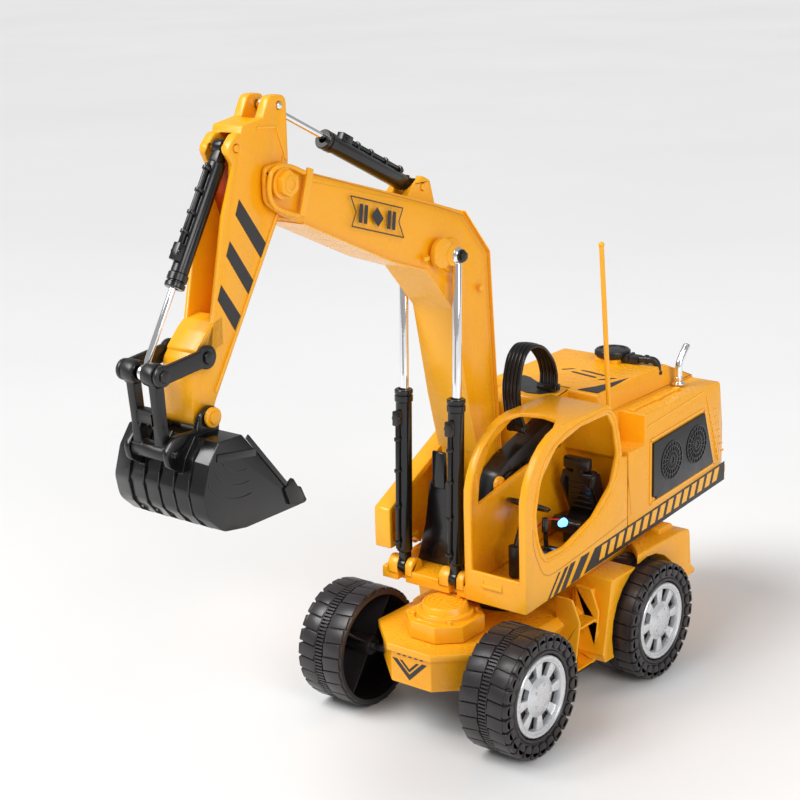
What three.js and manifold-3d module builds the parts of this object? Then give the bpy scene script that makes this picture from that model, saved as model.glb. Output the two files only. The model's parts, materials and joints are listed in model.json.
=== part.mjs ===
// Toy wheeled excavator with a swinging upper body, a boom, an arm and a bucket.
// Millimetres. +X is the cab side, -Y the bucket end, +Z up; the slew axis is x = 0, y = bodyShift.
import * as THREE from 'three';
import { mergeVertices } from 'three/addons/utils/BufferGeometryUtils.js';
import Module from 'manifold-3d';

const wasm = await Module();
wasm.setup();

// ---- driving dimensions -------------------------------------------------------------------
const bodyShift = 40.23;          // slew axis behind the middle of the overall length
const gap = 0.3;               // air between neighbouring pieces
const wall = 2.4;              // moulded wall thickness

const wheelRadius = 33;
const wheelWidth = 29.1;
const wheelFace = 68.2;        // outer face of each wheel from the centre plane
const frontAxleY = -65.5;
const rearAxleY = 51;
const axleRadius = 2;
const wheelFacets = 24;

const deckTop = 50;            // top of the lower body in front of the rear fenders
const fenderTop = 72.5;
const fenderFace = 58;
const slewClearRadius = 71;    // swept by the front corners of the upper body
const slewClearHeight = 66.4;

const bodyLeft = 48.2;         // cab side of the upper body
const bodyRight = -47.6;
const bodyFront = -51.2;
const cabInner = 9.35;         // the cab's wall beside the boom
const skirtFront = 67.2;       // lower edge of the upper body at its front
const skirtSlope = 0.0741;     // and its rise per millimetre towards the back
const coverFront = 47;

const boomX = -16.5;           // centre plane of the digging arm
const boomHalf = 12;
const armHalf = 9;
const armRoomHalf = armHalf + 0.7;   // the arm's slot in the end of the boom
const cylinderSpacing = 17.2;  // lift cylinders from the boom's centre plane
const boomPivot = [-8, 118];
const armPivot = [-162.6, 302];
const liftFoot = [-47, 75.5];
const liftEye = [-40, 247.5];
const armCylinderFoot = [-54.1, 283.6];
const armCylinderEye = [-157, 335.6];
const bucketPivot = [-215.6, 207.1];
const rockerPivot = [-214.1, 233.5];
const linkPin = [-240.7, 231];
const bucketLinkPin = [-238.5, 196];
const bucketCylinderFoot = [-185.5, 320.3];
const bucketHalf = 28;

// ---- finishes -----------------------------------------------------------------------------
const finish = (color, roughness, metalness = 0) =>
  new THREE.MeshStandardMaterial({ color, roughness, metalness });
const yellow = finish(0xf7a81c, 0.32);
const black = finish(0x1b1a1c, 0.28);
const rubber = finish(0x2c292b, 0.7);
const silver = finish(0xc9cbcd, 0.35, 0.6);
const chrome = finish(0xdfe2e5, 0.12, 1);
const brass = finish(0xb08a3c, 0.4, 0.9);
const green = finish(0x1f5c3a, 0.5);
const glow = finish(0x6fb4ff, 0.2);

// ---- solids -------------------------------------------------------------------------------
function solid(geometry) {
  const bare = geometry.clone();
  bare.deleteAttribute('normal');
  bare.deleteAttribute('uv');
  const merged = mergeVertices(bare, 1e-4);
  const mesh = new wasm.Mesh({
    numProp: 3,
    vertProperties: new Float32Array(merged.attributes.position.array),
    triVerts: new Uint32Array(merged.index.array),
  });
  return new wasm.Manifold(mesh);
}

function geometryOf(body) {
  const mesh = body.getMesh();
  const geometry = new THREE.BufferGeometry();
  geometry.setAttribute('position', new THREE.BufferAttribute(new Float32Array(mesh.vertProperties), 3));
  geometry.setIndex(new THREE.BufferAttribute(new Uint32Array(mesh.triVerts), 1));
  geometry.computeVertexNormals();
  return geometry;
}

const join = (first, ...others) => others.reduce((sum, other) => sum.add(other), first);
const cut = (first, ...others) => others.reduce((rest, other) => rest.subtract(other), first);

// Corners given as [a, b] are sharp; [a, b, radius] is rounded with an arc.
function outline(corners, steps = 3) {
  const points = corners.map(([a, b]) => new THREE.Vector2(a, b));
  return corners.flatMap(([, , radius = 0], i) => {
    const corner = points[i];
    if (radius === 0) {
      return [corner];
    }
    const back = points.at(i - 1).clone().sub(corner).normalize();
    const on = points[(i + 1) % points.length].clone().sub(corner).normalize();
    const half = Math.acos(back.dot(on)) / 2;
    const centre = back.clone().add(on).setLength(radius / Math.sin(half)).add(corner);
    const reach = radius / Math.tan(half);
    const start = back.multiplyScalar(reach).add(corner).sub(centre).angle();
    const end = on.multiplyScalar(reach).add(corner).sub(centre).angle();
    const turn = THREE.MathUtils.euclideanModulo(end - start + Math.PI, 2 * Math.PI) - Math.PI;
    return Array.from({ length: steps + 1 }, (_, k) => {
      const angle = start + turn * k / steps;
      return new THREE.Vector2(Math.cos(angle), Math.sin(angle)).multiplyScalar(radius).add(centre);
    });
  });
}

function extruded(corners, depth, axes, offset) {
  const geometry = new THREE.ExtrudeGeometry(new THREE.Shape(outline(corners)), {
    depth,
    bevelEnabled: false,
    steps: 1,
  });
  geometry.applyMatrix4(new THREE.Matrix4().makeBasis(...axes).setPosition(offset));
  return solid(geometry);
}

const X = new THREE.Vector3(1, 0, 0);
const Y = new THREE.Vector3(0, 1, 0);
const Z = new THREE.Vector3(0, 0, 1);

// Plates cut from a side view (y, z), a plan view (x, y) or a front view (x, z).
const sidePlate = (corners, x0, x1) => extruded(corners, x1 - x0, [Y, Z, X], new THREE.Vector3(x0, 0, 0));
const flatPlate = (corners, z0, z1) => extruded(corners, z1 - z0, [X, Y, Z], new THREE.Vector3(0, 0, z0));
const crossPlate = (corners, y0, y1) =>
  extruded(corners, y1 - y0, [X, Z, Y.clone().negate()], new THREE.Vector3(0, y1, 0));

function block(x0, x1, y0, y1, z0, z1) {
  const geometry = new THREE.BoxGeometry(x1 - x0, y1 - y0, z1 - z0);
  geometry.translate((x0 + x1) / 2, (y0 + y1) / 2, (z0 + z1) / 2);
  return solid(geometry);
}

function barBetween(from, to, radius, facets = 16, farRadius = radius) {
  const start = new THREE.Vector3(...from);
  const along = new THREE.Vector3(...to).sub(start);
  const geometry = new THREE.CylinderGeometry(farRadius, radius, along.length(), facets);
  geometry.translate(0, along.length() / 2, 0);
  geometry.applyQuaternion(new THREE.Quaternion().setFromUnitVectors(Y, along.clone().normalize()));
  geometry.translate(start.x, start.y, start.z);
  return solid(geometry);
}

const crossBar = (x0, x1, [y, z], radius, facets = 16) => barBetween([x0, y, z], [x1, y, z], radius,
    facets);
const upBar = (x, y, z0, z1, radius, facets = 16, top = radius) =>
  barBetween([x, y, z0], [x, y, z1], radius, facets, top);

// A ring turned about X from (radius, x) corners that go round its section.
function turnedRing(section, facets) {
  const points = [...section, section[0]].map(([r, x]) => new THREE.Vector2(r, x));
  const geometry = new THREE.LatheGeometry(points, facets, Math.PI / facets);
  geometry.rotateZ(-Math.PI / 2);
  return solid(geometry);
}

function hose(points, radius, steps) {
  const curve = new THREE.CatmullRomCurve3(points.map((p) => new THREE.Vector3(...p)));
  const section = new THREE.Shape();
  section.absarc(0, 0, radius, 0, 2 * Math.PI);
  return solid(new THREE.ExtrudeGeometry(section, { extrudePath: curve, steps, curveSegments: 4 }));
}

// ---- placing ------------------------------------------------------------------------------
function piece(group, name, body, material, place = {}) {
  const mesh = new THREE.Mesh(geometryOf(body), material);
  mesh.name = name;
  mesh.position.set(...(place.position ?? [0, 0, 0]));
  mesh.rotation.set(...(place.rotation ?? [0, 0, 0]));
  group.add(mesh);
}

const excavator = new THREE.Group();
excavator.position.y = bodyShift;

function assembly() {
  const group = new THREE.Group();
  excavator.add(group);
  return group;
}

const at = (x, [y, z]) => [x, y, z];

// ---- lower body ---------------------------------------------------------------------------
const chassis = assembly();
const hubInner = wheelFace - wheelWidth;      // inner face of each wheel
const innerWall = hubInner - 1.1;             // side walls between the wheels

function mirroredPlan(half) {
  return [...half, ...half.toReversed().map(([x, y, r = 0]) => [-x, y, r])];
}

function sideStep(side) {
  const cheek = [[39, 62.5], [47, 62.5], [49.6, 62], [54.3, 50], [51.1, 20], [39, 20]]
    .map(([x, z]) => [side * x, z]);
  const cheeks = [-11, 7.4].map((y) => crossPlate(cheek, y, y + 1.7));
  const rungs = [[46, 52.6], [21, 50.6]].map(([z, x]) => {
    const [x0, x1] = [side * 39, side * x].sort((a, b) => a - b);
    return block(x0, x1, -10, 8, z - 1.6, z);
  });
  const [inner, outer] = [side * 35, side * 40].sort((a, b) => a - b);
  const [near, far] = [side * 36.5, side * 47.6].sort((a, b) => a - b);
  const backing = block(near, far, 8.6, 14.4, 24, 60);       // closes the wedge in front of the fender
  return join(...cheeks, ...rungs, backing, block(inner, outer, -11, 9.1, 20, 40));
}

function lowerBody() {
  const nose = flatPlate(mirroredPlan([[13, -86.5], [36, -65], [36, -30]]), 28.5, deckTop - 4);
  const lip = flatPlate(mirroredPlan([[14.2, -88.2], [38, -66.4], [38, -31], [38, 12]]), deckTop - 4,
      deckTop);
  const waist = block(-36, 36, -32, 14, 21, deckTop - 2);
  const shoulders = crossPlate(
    mirroredPlan([[44.5, deckTop - 3.5, 1], [40, deckTop, 2]]).concat([[-38, 38], [38, 38]]),
    -29, 12,
  );
  const rear = sidePlate([[6.5, 26], [16.5, fenderTop, 2.5], [86, fenderTop, 2], [97, 71, 3], [99, 49],
      [104, 44.5],
    [103, 42.5], [96, 42], [92, 21], [9, 21]], -fenderFace, fenderFace);
  const humps = [-1, 1].map((side) => {
    const [x0, x1] = [side * 40, side * 51].sort((a, b) => a - b);
    return sidePlate([[74, 70], [76, 75.5, 2], [89, 75.5, 3], [92, 70]], x0, x1);
  });
  let body = join(nose, lip, waist, shoulders, rear, ...humps, sideStep(1), sideStep(-1));
  const arches = [-1, 1].map((side) => {
    const [x0, x1] = [side * innerWall, side * (fenderFace + 1)].sort((a, b) => a - b);
    const arch = crossBar(x0, x1, [rearAxleY, wheelRadius], wheelRadius + 2.5, 24);
    return arch.add(block(x0, x1, rearAxleY - 26, 120, 10, wheelRadius));
  });
  const middle = block(-40, 40, 14, 110, slewClearHeight, 90);
  const slewRelief = upBar(0, 0, slewClearHeight, 90, slewClearRadius, 36);
  const ringSeat = upBar(0, 0, deckTop, 90, 24.6, 24);
  const noseHollow = flatPlate(mirroredPlan([[12, -84], [33.4, -63.8], [33.4, -30]]), 28, deckTop - wall);
  const waistHollow = block(-33.4, 33.4, -40, 12, 20, deckTop - 2 - wall);
  const rearHollow = sidePlate([[10, 20], [18.5, slewClearHeight - wall], [93, slewClearHeight - wall],
      [93, 20]],
    -35, 35);
  body = cut(body, ...arches, middle, slewRelief, ringSeat, noseHollow, waistHollow, rearHollow);
  const axleBores = [frontAxleY, rearAxleY].map((y) => crossBar(-70, 70, [y, wheelRadius], axleRadius + gap,
      12));
  return cut(body, ...axleBores);
}
piece(chassis, 'chassis_shell', lowerBody(), yellow);

function bottomPan() {
  const nose = flatPlate(mirroredPlan([[11.6, -83.4], [33, -63.4], [33, -32]]), 28.8, 30.6);
  const riser = block(-33, 33, -33.4, -31.6, 21.2, 30.6);
  const waist = block(-33, 33, -33.4, 11.5, 21.2, 23);
  const rear = block(-34.6, 34.6, 10.9, 92.6, 21.2, 23);
  const door = block(-25.3, 25.3, 61.7, 90.3, 20, 24);
  return cut(join(nose, riser, waist, rear), door);
}
piece(chassis, 'bottom_pan', bottomPan(), black);
piece(chassis, 'battery_door', block(-25, 25, 62, 90, 21.2, 23), black);

function batteryPack() {
  const cells = [30, 42.5].flatMap((z) => [68.5, 81.5].map((y) => crossBar(-24, 24, [y, z], 6.1, 12)));
  return join(block(-22, 22, 64, 86, 27, 46), ...cells);
}
piece(chassis, 'battery_pack', batteryPack(), green);

function gearboxCap() {
  const base = flatPlate(mirroredPlan([[8, -76], [19, -66], [19, -47], [8, -37]]), deckTop + gap, 59.5);
  const collar = upBar(0, -56.5, 59, 62, 15.4, 20);
  const dome = upBar(0, -56.5, 61.5, 65.9, 13.2, 20, 12);
  const bolts = [45, 135, 225, 315].map((turn) => {
    const angle = THREE.MathUtils.degToRad(turn);
    return upBar(17 * Math.cos(angle), -56.5 + 16.5 * Math.sin(angle), 59, 61.4, 1.5, 6);
  });
  return join(base, collar, dome, ...bolts);
}
piece(chassis, 'front_gearbox_cap', gearboxCap(), yellow);

piece(chassis, 'slew_ring', cut(upBar(0, 0, deckTop + gap, 69.5, 24, 24), upBar(0, 0, 40, 80, 15.6, 18)),
    black);

function steelAxle(y, half) {
  return crossBar(-half, half, [y, wheelRadius], axleRadius, 12);
}
piece(chassis, 'front_axle', steelAxle(frontAxleY, 66), silver);

// ---- drive --------------------------------------------------------------------------------
const gearModule = 0.7;
const pinionTeeth = 10;
const axleGearTeeth = 24;
const gearCentres = gearModule * (pinionTeeth + axleGearTeeth) / 2;
const motorY = rearAxleY - gearCentres;

function spurGear(teeth, width, toothShift) {
  const pitch = gearModule * teeth / 2;
  const corners = Array.from({ length: teeth }, (_, i) => {
    const middle = 2 * Math.PI * (i + toothShift) / teeth;
    const flank = (radius, share) => [radius, middle + share * Math.PI / teeth];
    return [flank(pitch - 1, -0.6), flank(pitch + 0.5, -0.26), flank(pitch + 0.5, 0.26),
        flank(pitch - 1, 0.6)];
  }).flat();
  return sidePlate(corners.map(([r, a]) => [r * Math.cos(a), r * Math.sin(a)]), -width / 2, width / 2);
}

const rearWheelset = assembly();
piece(rearWheelset, 'rear_axle', steelAxle(rearAxleY, 66), silver);
const axleGear = cut(spurGear(axleGearTeeth, 5, 0), crossBar(-4, 4, [0, 0], axleRadius + gap, 12));
piece(rearWheelset, 'axle_gear', axleGear, black, { position: [-14, rearAxleY, wheelRadius] });

const motorAssembly = assembly();
const pinion = join(spurGear(pinionTeeth, 7, 0.5), crossBar(3, 12, [0, 0], 1, 10));
piece(motorAssembly, 'motor_pinion', pinion, brass, { position: [-14, motorY, wheelRadius] });

function driveMotor() {
  const can = crossBar(-9.6, 16, [0, 0], 8.6, 20);
  const boss = crossBar(-11.4, -9, [0, 0], 3, 12);
  return cut(join(can, boss), crossBar(-13, 3, [0, 0], 1 + gap, 10));
}
piece(chassis, 'drive_motor', driveMotor(), silver, { position: [4.4, motorY, wheelRadius] });

// ---- wheels -------------------------------------------------------------------------------
const half = wheelWidth / 2;

// Section corners are (radius, distance outwards); the facet at the bottom lies on the ground.
function tyre() {
  const outer = wheelRadius / Math.cos(Math.PI / wheelFacets);
  return turnedRing([[29, -half], [31.3, -half], [outer, 2 - half], [outer, half - 2.5], [31, half],
    [23, half], [21.8, half - 1.4], [21.8, half - 5], [5, half - 5], [5, half - 8], [29, half - 8]],
        wheelFacets);
}

function hub() {
  const disc = crossBar(half - 4.7, half - 1.6, [0, 0], 21.2, wheelFacets);
  const rim = cut(crossBar(half - 4.7, half - 0.6, [0, 0], 21.2, wheelFacets),
      crossBar(half - 3, half, [0, 0], 17.6, wheelFacets));
  const centre = crossBar(half - 4.7, half - 0.2, [0, 0], 9.5, 12);
  const spigot = crossBar(half - 11, half - 4, [0, 0], 4.4, 12);
  const windows = Array.from({ length: 8 }, (_, i) => {
    const slot = block(half - 6, half + 1, -2.2, 2.2, 12, 16.6);
    return slot.rotate([22.5 + 45 * i, 0, 0]);
  });
  const bore = crossBar(-half, half - 2, [0, 0], axleRadius + gap, 12);
  return cut(join(disc, rim, centre, spigot), ...windows, bore);
}

function wheel(group, label, side, y) {
  const place = {
    position: [side * (wheelFace - half), y, wheelRadius],
    rotation: [0, 0, side > 0 ? 0 : Math.PI],
  };
  piece(group, `tyre_${label}`, tyre(), rubber, place);
  piece(group, `hub_${label}`, hub(), silver, place);
}
wheel(rearWheelset, 'rear_left', 1, rearAxleY);
wheel(rearWheelset, 'rear_right', -1, rearAxleY);
wheel(assembly(), 'front_left', 1, frontAxleY);
wheel(assembly(), 'front_right', -1, frontAxleY);

// ---- upper body ---------------------------------------------------------------------------
const upper = assembly();
const skirt = (y) => skirtFront + skirtSlope * (y - bodyFront);
const deckZ = (y) => skirt(y) + 6.5;

function turntable() {
  const edge = bodyFront + 0.8;
  const deck = sidePlate([[edge, skirt(edge) + 2], [160, skirt(160) + 2], [160, deckZ(160)],
      [edge, deckZ(edge)]],
    bodyRight + wall, bodyLeft - wall - gap);
  const frontSkirt = sidePlate([[edge, skirt(edge)], [-40, skirt(-40)], [-40, deckZ(-40)],
      [edge, deckZ(edge)]],
    bodyRight + 0.6, cabInner - gap);
  const sideSkirt = sidePlate([[edge, skirt(edge)], [46, skirt(46)], [46, deckZ(46)], [edge, deckZ(edge)]],
    bodyRight + 0.6, bodyRight + 3);
  const lugs = [-1, 1].flatMap((side) => {
    const middle = boomX + side * cylinderSpacing;
    const cheek = [[bodyFront + 0.4, skirtFront + 4], [bodyFront + 0.4, 77, 2.5], [-47.5, 81.4, 4],
        [-41.5, 79, 4],
      [-40, skirtFront + 4]];
    return [[middle - 9, middle - 2.6], [middle + 2.6, middle + 7.2]].map(([x0, x1]) => sidePlate(cheek, x0,
        x1));
  });
  const spigot = upBar(0, 0, 55, 72, 15, 18);
  const feet = [-1, 1].map((side) => {
    const middle = boomX + side * cylinderSpacing;
    return sidePlate([[-60, 60], [-60, 90], [-41, 90], [-41, 69.5], [-46, 69.5], [-52, 60]], middle - 2.6,
        middle + 2.6);
  });
  const pins = [-1, 1].map((side) => {
    const middle = boomX + side * cylinderSpacing;
    return crossBar(middle - 4, middle + 4, liftFoot, 1.6, 12);
  });
  const cabFront = block(cabInner - gap, 60, -60, bodyFront + wall + gap, 50, 90);
  const body = cut(join(deck, frontSkirt, sideSkirt, spigot, ...lugs), cabFront,
      upBar(0, 0, 50, 90, 11, 18), ...feet);
  return join(body, ...pins);
}
piece(upper, 'turntable_deck', turntable(), yellow);

function cabShell() {
  const frontTop = -11.4;
  const roof = 160.4;
  const side = (inset) => [
    [bodyFront + inset, skirt(bodyFront) + 6 * Math.sign(inset)],
    [bodyFront + inset, 119],
    ...Array.from({ length: 7 }, (_, i) => {
      const angle = Math.PI * (1 - (i + 1) / 16);
      const radius = 40.2 - inset;
      return [frontTop + radius * Math.cos(angle), 120 + radius * Math.sin(angle)];
    }),
    [frontTop, roof - inset],
    [29 - inset, roof - 0.6 - inset, 4 - inset],
    [38 - inset, 142],
    [41 - inset, 127.4, 1],
    [46 - inset, 126.4 - inset],
    [46 - inset, skirt(46) + 6 * Math.sign(inset)],
  ];
  const outer = sidePlate(side(0), cabInner, bodyLeft);
  const room = sidePlate(side(wall), cabInner + wall, bodyLeft - wall);
  const floorRoom = sidePlate([[bodyFront + wall, 50], [46 - wall, 50], [46 - wall, deckZ(46) + 1],
    [bodyFront + wall, deckZ(bodyFront) + 1]], cabInner - 1, bodyLeft - wall);
  const skirtUnder = sidePlate([[bodyFront + wall, 50], [47, 50], [47, deckZ(46) + gap],
    [bodyFront + wall, deckZ(bodyFront) + gap]], cabInner - 1, bodyLeft - wall);
  const windscreen = flatPlate([[14, -60], [44, -60], [44, -20], [40, -11, 3], [29, -7.5, 8], [18, -11, 3],
      [14, -20]],
    84.5, 170);
  const doorway = sidePlate([[-33.5, 94.3, 6], [-39, 104, 6], [-40.6, 119, 10], [-36, 136, 14],
      [-22, 150, 14],
    [0, 154.8, 8], [26, 154.8, 4], [32, 146, 3], [35.6, 130, 8], [30, 115, 8], [12, 101.5, 10],
        [-15, 93.5, 10]],
  bodyLeft - wall - 1, bodyLeft + 1);
  const boomSide = sidePlate([[-41, 117], [-39, 131, 10], [-29, 147, 12], [-10, 155, 6], [26, 155, 4],
      [34, 138],
    [37, 128], [3, 126]], cabInner - 1, cabInner + wall + 1);
  return cut(outer, room, floorRoom, skirtUnder, windscreen, doorway, boomSide);
}
piece(upper, 'cab_shell', cabShell(), yellow);

function engineCover() {
  const shoulder = 146;
  const plateau = 158.5;
  const base = (inset) => [
    [coverFront + inset, deckZ(coverFront) + gap - 8 * Math.sign(inset)],
    [coverFront + inset, shoulder - 1 - inset, inset ? 0 : 2],
    [146 - inset, shoulder - 1 - inset, inset ? 0 : 4],
    [165.4 - inset, 96],
    [165.4 - inset, skirt(160) + 2, inset ? 0 : 3],
    [160.4 - inset, skirt(160) + gap - 8 * Math.sign(inset)],
  ];
  const shoulders = sidePlate(base(0), bodyRight, bodyLeft);
  const skirts = [[bodyRight, bodyRight + wall - gap], [bodyLeft - wall, bodyLeft]].map(([x0, x1]) =>
    sidePlate([[coverFront, skirt(coverFront)], [coverFront, 90], [158, 90], [158, skirt(158)]], x0, x1));
  const top = sidePlate([[coverFront, shoulder - 4], [coverFront, plateau - 1, 2], [118, plateau, 14],
      [146, shoulder, 3],
    [148, shoulder - 4]], bodyRight + 5, 30);
  const bevels = crossPlate([[bodyRight - 1, 170], [bodyRight - 1, 150], [bodyRight + 3, 150],
      [bodyRight + 13, 170]],
    40, 170);
  const nearBevel = crossPlate([[25.5, 170], [29.8, 146.2], [34, 146.2], [34, 170]], 40, 170);
  const corners = flatPlate([[20, 190], [60, 190], [60, 146], [48.4, 146], [44, 158], [20, 166]], 60, 170);
  const farCorners = flatPlate([[-20, 166], [-43, 158], [-47.8, 146], [-60, 146], [-60, 190], [-20, 190]],
      60, 170);
  const innerTop = sidePlate([[coverFront + wall, shoulder - 8], [coverFront + wall, plateau - 1 - wall],
    [116, plateau - wall], [143, shoulder - 8]], bodyRight + 10, 24);
  const room = sidePlate(base(wall), bodyRight + wall, bodyLeft - wall);
  const notch = block(31, 60, 40, 63.5, 128, 170);             // the antenna stands on its floor
  const notchWalls = block(31 - wall, 60, 40, 63.5 + wall, 128 - wall, 170);
  const shelf = cut(sidePlate([[25.4, plateau - 8], [25.4, plateau - 1, 3], [coverFront + 3, plateau - 0.9],
    [coverFront + 3, plateau - 8]], -31, 8.6), flatPlate([[-60, 20], [-60, 60], [-31, 60], [-24, 20]], 140, 170));
  const rearRoom = cut(join(room, innerTop), notchWalls,
    flatPlate([[17, 190], [60, 190], [60, 144], [45.4, 144], [41, 155.4], [17, 163]], 60, 170),
    flatPlate([[-17, 163], [-40.5, 155.4], [-45, 144], [-60, 144], [-60, 190], [-17, 190]], 60, 170));
  const overDeck = sidePlate([[40, 60], [161, 60], [161, deckZ(161) + gap], [40, deckZ(40) + gap]],
    bodyRight + wall - gap, bodyLeft - wall);
  return cut(join(shoulders, top, shelf, ...skirts), bevels, nearBevel, corners, farCorners, rearRoom, notch,
    overDeck);
}
piece(upper, 'engine_cover', engineCover(), yellow);

const grille = sidePlate([[71, 93.5], [71, 127], [127, 130.5], [138, 97.5]], bodyLeft + gap,
    bodyLeft + 1.5);
piece(upper, 'side_grille', cut(grille, block(40, 60, 60, 74, 60, 95.5)), black);

function toolBox() {
  const outer = sidePlate([[-52, 85], [-52, 107, 2], [4, 136], [45, 150, 2], [45, deckZ(45) + gap],
    [-20, deckZ(-20) + gap], [-30, 85]], -50, -39.4);
  const inner = sidePlate([[-49, 88], [-49, 104], [5, 132.6], [42, 145], [42, 60], [-18, 60], [-27, 88]],
      -47.6, -38);
  return cut(outer, inner);
}
piece(upper, 'right_side_box', toolBox(), yellow);

function seat() {
  const cushion = join(
    sidePlate([[14, 88], [14, 96, 3], [38, 94.5], [38, 86]], 19, 39),
    sidePlate([[37, 88], [31, 95], [24, 120, 3], [31, 121, 3], [39, 98], [42, 88]], 20.5, 37.5),
  );
  const bolsters = [19, 36.6].map((x) => sidePlate([[30, 92], [23, 113, 2], [32, 114], [39, 92]], x,
      x + 2.4));
  const headrest = sidePlate([[21.8, 119.6, 2], [20.6, 129, 3], [27, 130, 3], [29.4, 119.4, 2]], 22.5,
      35.5);
  return join(cushion, headrest, ...bolsters, block(23, 35, 20, 36, deckZ(40) + gap, 90));
}
piece(upper, 'seat', seat(), black);
piece(upper, 'cab_light', barBetween([28, 13.6, 93.5], [28, 9, 94.5], 2.5, 12), glow);

function controlConsole() {
  const tower = sidePlate([[-25, deckZ(-25) + gap], [-26, 88], [-22, 92, 1], [-10, 90],
      [-8, deckZ(-8) + gap]], 33, 43);
  const stick = barBetween([37, -16, 90], [37, -17, 101], 1.3, 10);
  const grip = barBetween([37, -17, 100], [37, -17.4, 108], 2, 10, 1.6);
  return join(tower, stick, grip);
}
piece(upper, 'control_console', controlConsole(), black);

const wheelCentre = new THREE.Vector3(25, -15, 112);
const columnTilt = THREE.MathUtils.degToRad(28);
const columnFoot = [25, -15 - 25 * Math.sin(columnTilt), 112 - 25 * Math.cos(columnTilt)];

function steeringWheel() {
  const rim = new THREE.TorusGeometry(10, 1.1, 6, 18);
  const spokes = [0, 120, 240].map((turn) => block(-0.9, 0.9, 0, 9.6, -0.8, 0.8).rotate([0, 0, turn]));
  return cut(join(solid(rim), ...spokes, upBar(0, 0, -1.4, 1.6, 3, 12)),
      upBar(0, 0, -2, 0.4, 1.2 + gap, 10));
}
const wheelPlace = { position: wheelCentre.toArray(), rotation: [-columnTilt, 0, 0] };
piece(assembly(), 'steering_wheel', steeringWheel(), black, wheelPlace);

function steeringColumn() {
  const shaft = upBar(0, 0, -24, 0, 1.2, 10);
  const sleeve = upBar(0, 0, -26, -3, 2.2, 12);
  return join(shaft, sleeve);
}
const columnLower = block(-20, 60, -80, 60, 20, deckZ(-20) + gap);
const column = steeringColumn().rotate([-28, 0, 0]).translate(wheelCentre.toArray());
piece(upper, 'steering_column', cut(join(column, upBar(25, columnFoot[1] - 1, 70, 93, 3.4, 12)),
    columnLower), black);

function antenna() {
  const mast = barBetween([39, 43.6, 127], [42, 29, 246.6], 1.6, 8, 1.3);
  return join(mast, barBetween([39, 43.8, 127], [39.3, 43.4, 132], 2.2, 8, 2));
}
piece(upper, 'antenna', cut(antenna(), block(30, 50, 30, 60, 100, 127.8)), yellow);

function exhaust() {
  const flange = upBar(34.5, 122.5, 146.3, 147.6, 3.9, 12);
  const stack = hose([[34.5, 122.5, 147], [34.5, 122, 153], [34.5, 122.5, 158], [34.8, 126, 163],
      [35, 131, 167.5]],
    2.3, 8);
  const mouth = barBetween([35, 132.2, 168.6], [34.9, 129.2, 165.9], 1.5, 8);
  return cut(join(flange, stack), mouth);
}
piece(upper, 'exhaust_pipe', exhaust(), chrome);

function intakeCap() {
  const boss = block(-9, 5, 103, 117, 158.8, 161.5);
  const cap = upBar(-2, 110, 161.5, 165.6, 10, 20);
  const rimLow = upBar(-2, 110, 160.6, 161.8, 8, 20);
  return join(boss, cap, rimLow);
}

function intakePipe() {
  const box = block(4, 17, 106.5, 113, 158.8, 163);
  const elbow = hose([[16, 110, 161], [22, 111, 161.4], [25.4, 112.4, 160], [25.6, 113, 153]], 2.2, 10);
  return join(box, elbow);
}
const pipeCut = block(4, 40, 90, 140, 120, 158.8);
piece(upper, 'air_intake', cut(join(intakeCap(), intakePipe()), pipeCut), black);

function deckGuard() {
  const face = crossPlate([[-34, 60], [-34, 76], [-28.2, 98], [-24.6, 122, 1.5], [-8.4, 122, 1.5], [-4.8, 98],
    [1, 76], [1, 60]], -35.4, -33);
  const tongue = sidePlate([[-36, 119], [-35.6, 139, 1], [-33.2, 139, 1], [-33, 119]], -22.4, -14.4);
  const below = sidePlate([[-60, 60], [-60, deckZ(-60) + gap], [0, deckZ(0) + gap], [0, 60]], -60, 60);
  return cut(join(face, tongue), below);
}
piece(upper, 'deck_guard', deckGuard(), black);

// ---- boom foot ----------------------------------------------------------------------------
const bracketNear = [boomX + boomHalf + 0.6, 7.4];

function footBracket([x0, x1]) {
  const cheek = sidePlate([[-22, deckZ(-22) + gap], [-22, 112], [-17, 126, 6], [-6, 132, 4], [40, 146, 3],
      [44, 140],
    [44, deckZ(44) + gap]], x0, x1);
  const eye = crossBar(-60, 30, boomPivot, 3.3, 16);
  return cut(cheek, eye);
}
piece(upper, 'boom_bracket', footBracket(bracketNear), black);

function footPin() {
  const shaft = crossBar(boomX - boomHalf, bracketNear[1] + 1, boomPivot, 3, 16);
  const head = crossBar(bracketNear[1] + gap, bracketNear[1] + 1.6, boomPivot, 4.6, 16);
  return join(shaft, head);
}
piece(upper, 'boom_pin', footPin(), yellow);

// The hoses lie side by side in one flat band that arches over behind the boom's foot, onto the cover.
function hoseBand() {
  return sidePlate([[8, 141], [2, 160], [3, 180], [12, 189.5, 6], [22, 190, 6], [34, 183.5], [41.4, 170],
    [41, 158.8], [36.6, 158.8], [37, 168], [31, 179], [20, 185.5, 4], [13, 185, 4], [7, 178], [6, 160],
    [12, 141]], -4.2, 7.4);
}
piece(upper, 'hose_bundle', hoseBand(), black);

piece(upper, 'slew_motor', join(upBar(20, 100, deckZ(111) + gap, 118, 11, 16),
    upBar(20, 100, 118, 121, 4, 12)), silver);
piece(upper, 'circuit_board', block(-36, 0, 78, 138, deckZ(138) + 5, deckZ(138) + 7), green);

// ---- boom ---------------------------------------------------------------------------------
const boomOutline = [
  [-172, 305, 0], [-171, 310.5, 3], [-159, 311, 6], [-141.8, 303.9], [-50.6, 275.4], [-27.3, 267.6, 3],
      [-6.9, 243.4, 3],
  [-2.6, 174], [1.2, 124, 4], [1.2, 111, 7], [-14.5, 108.4, 8], [-18.5, 131], [-28.2, 168.8],
      [-38.5, 218.9],
  [-60.2, 243.2], [-87.1, 252.8], [-161.5, 287.4, 4], [-172, 294, 6],
];

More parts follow.
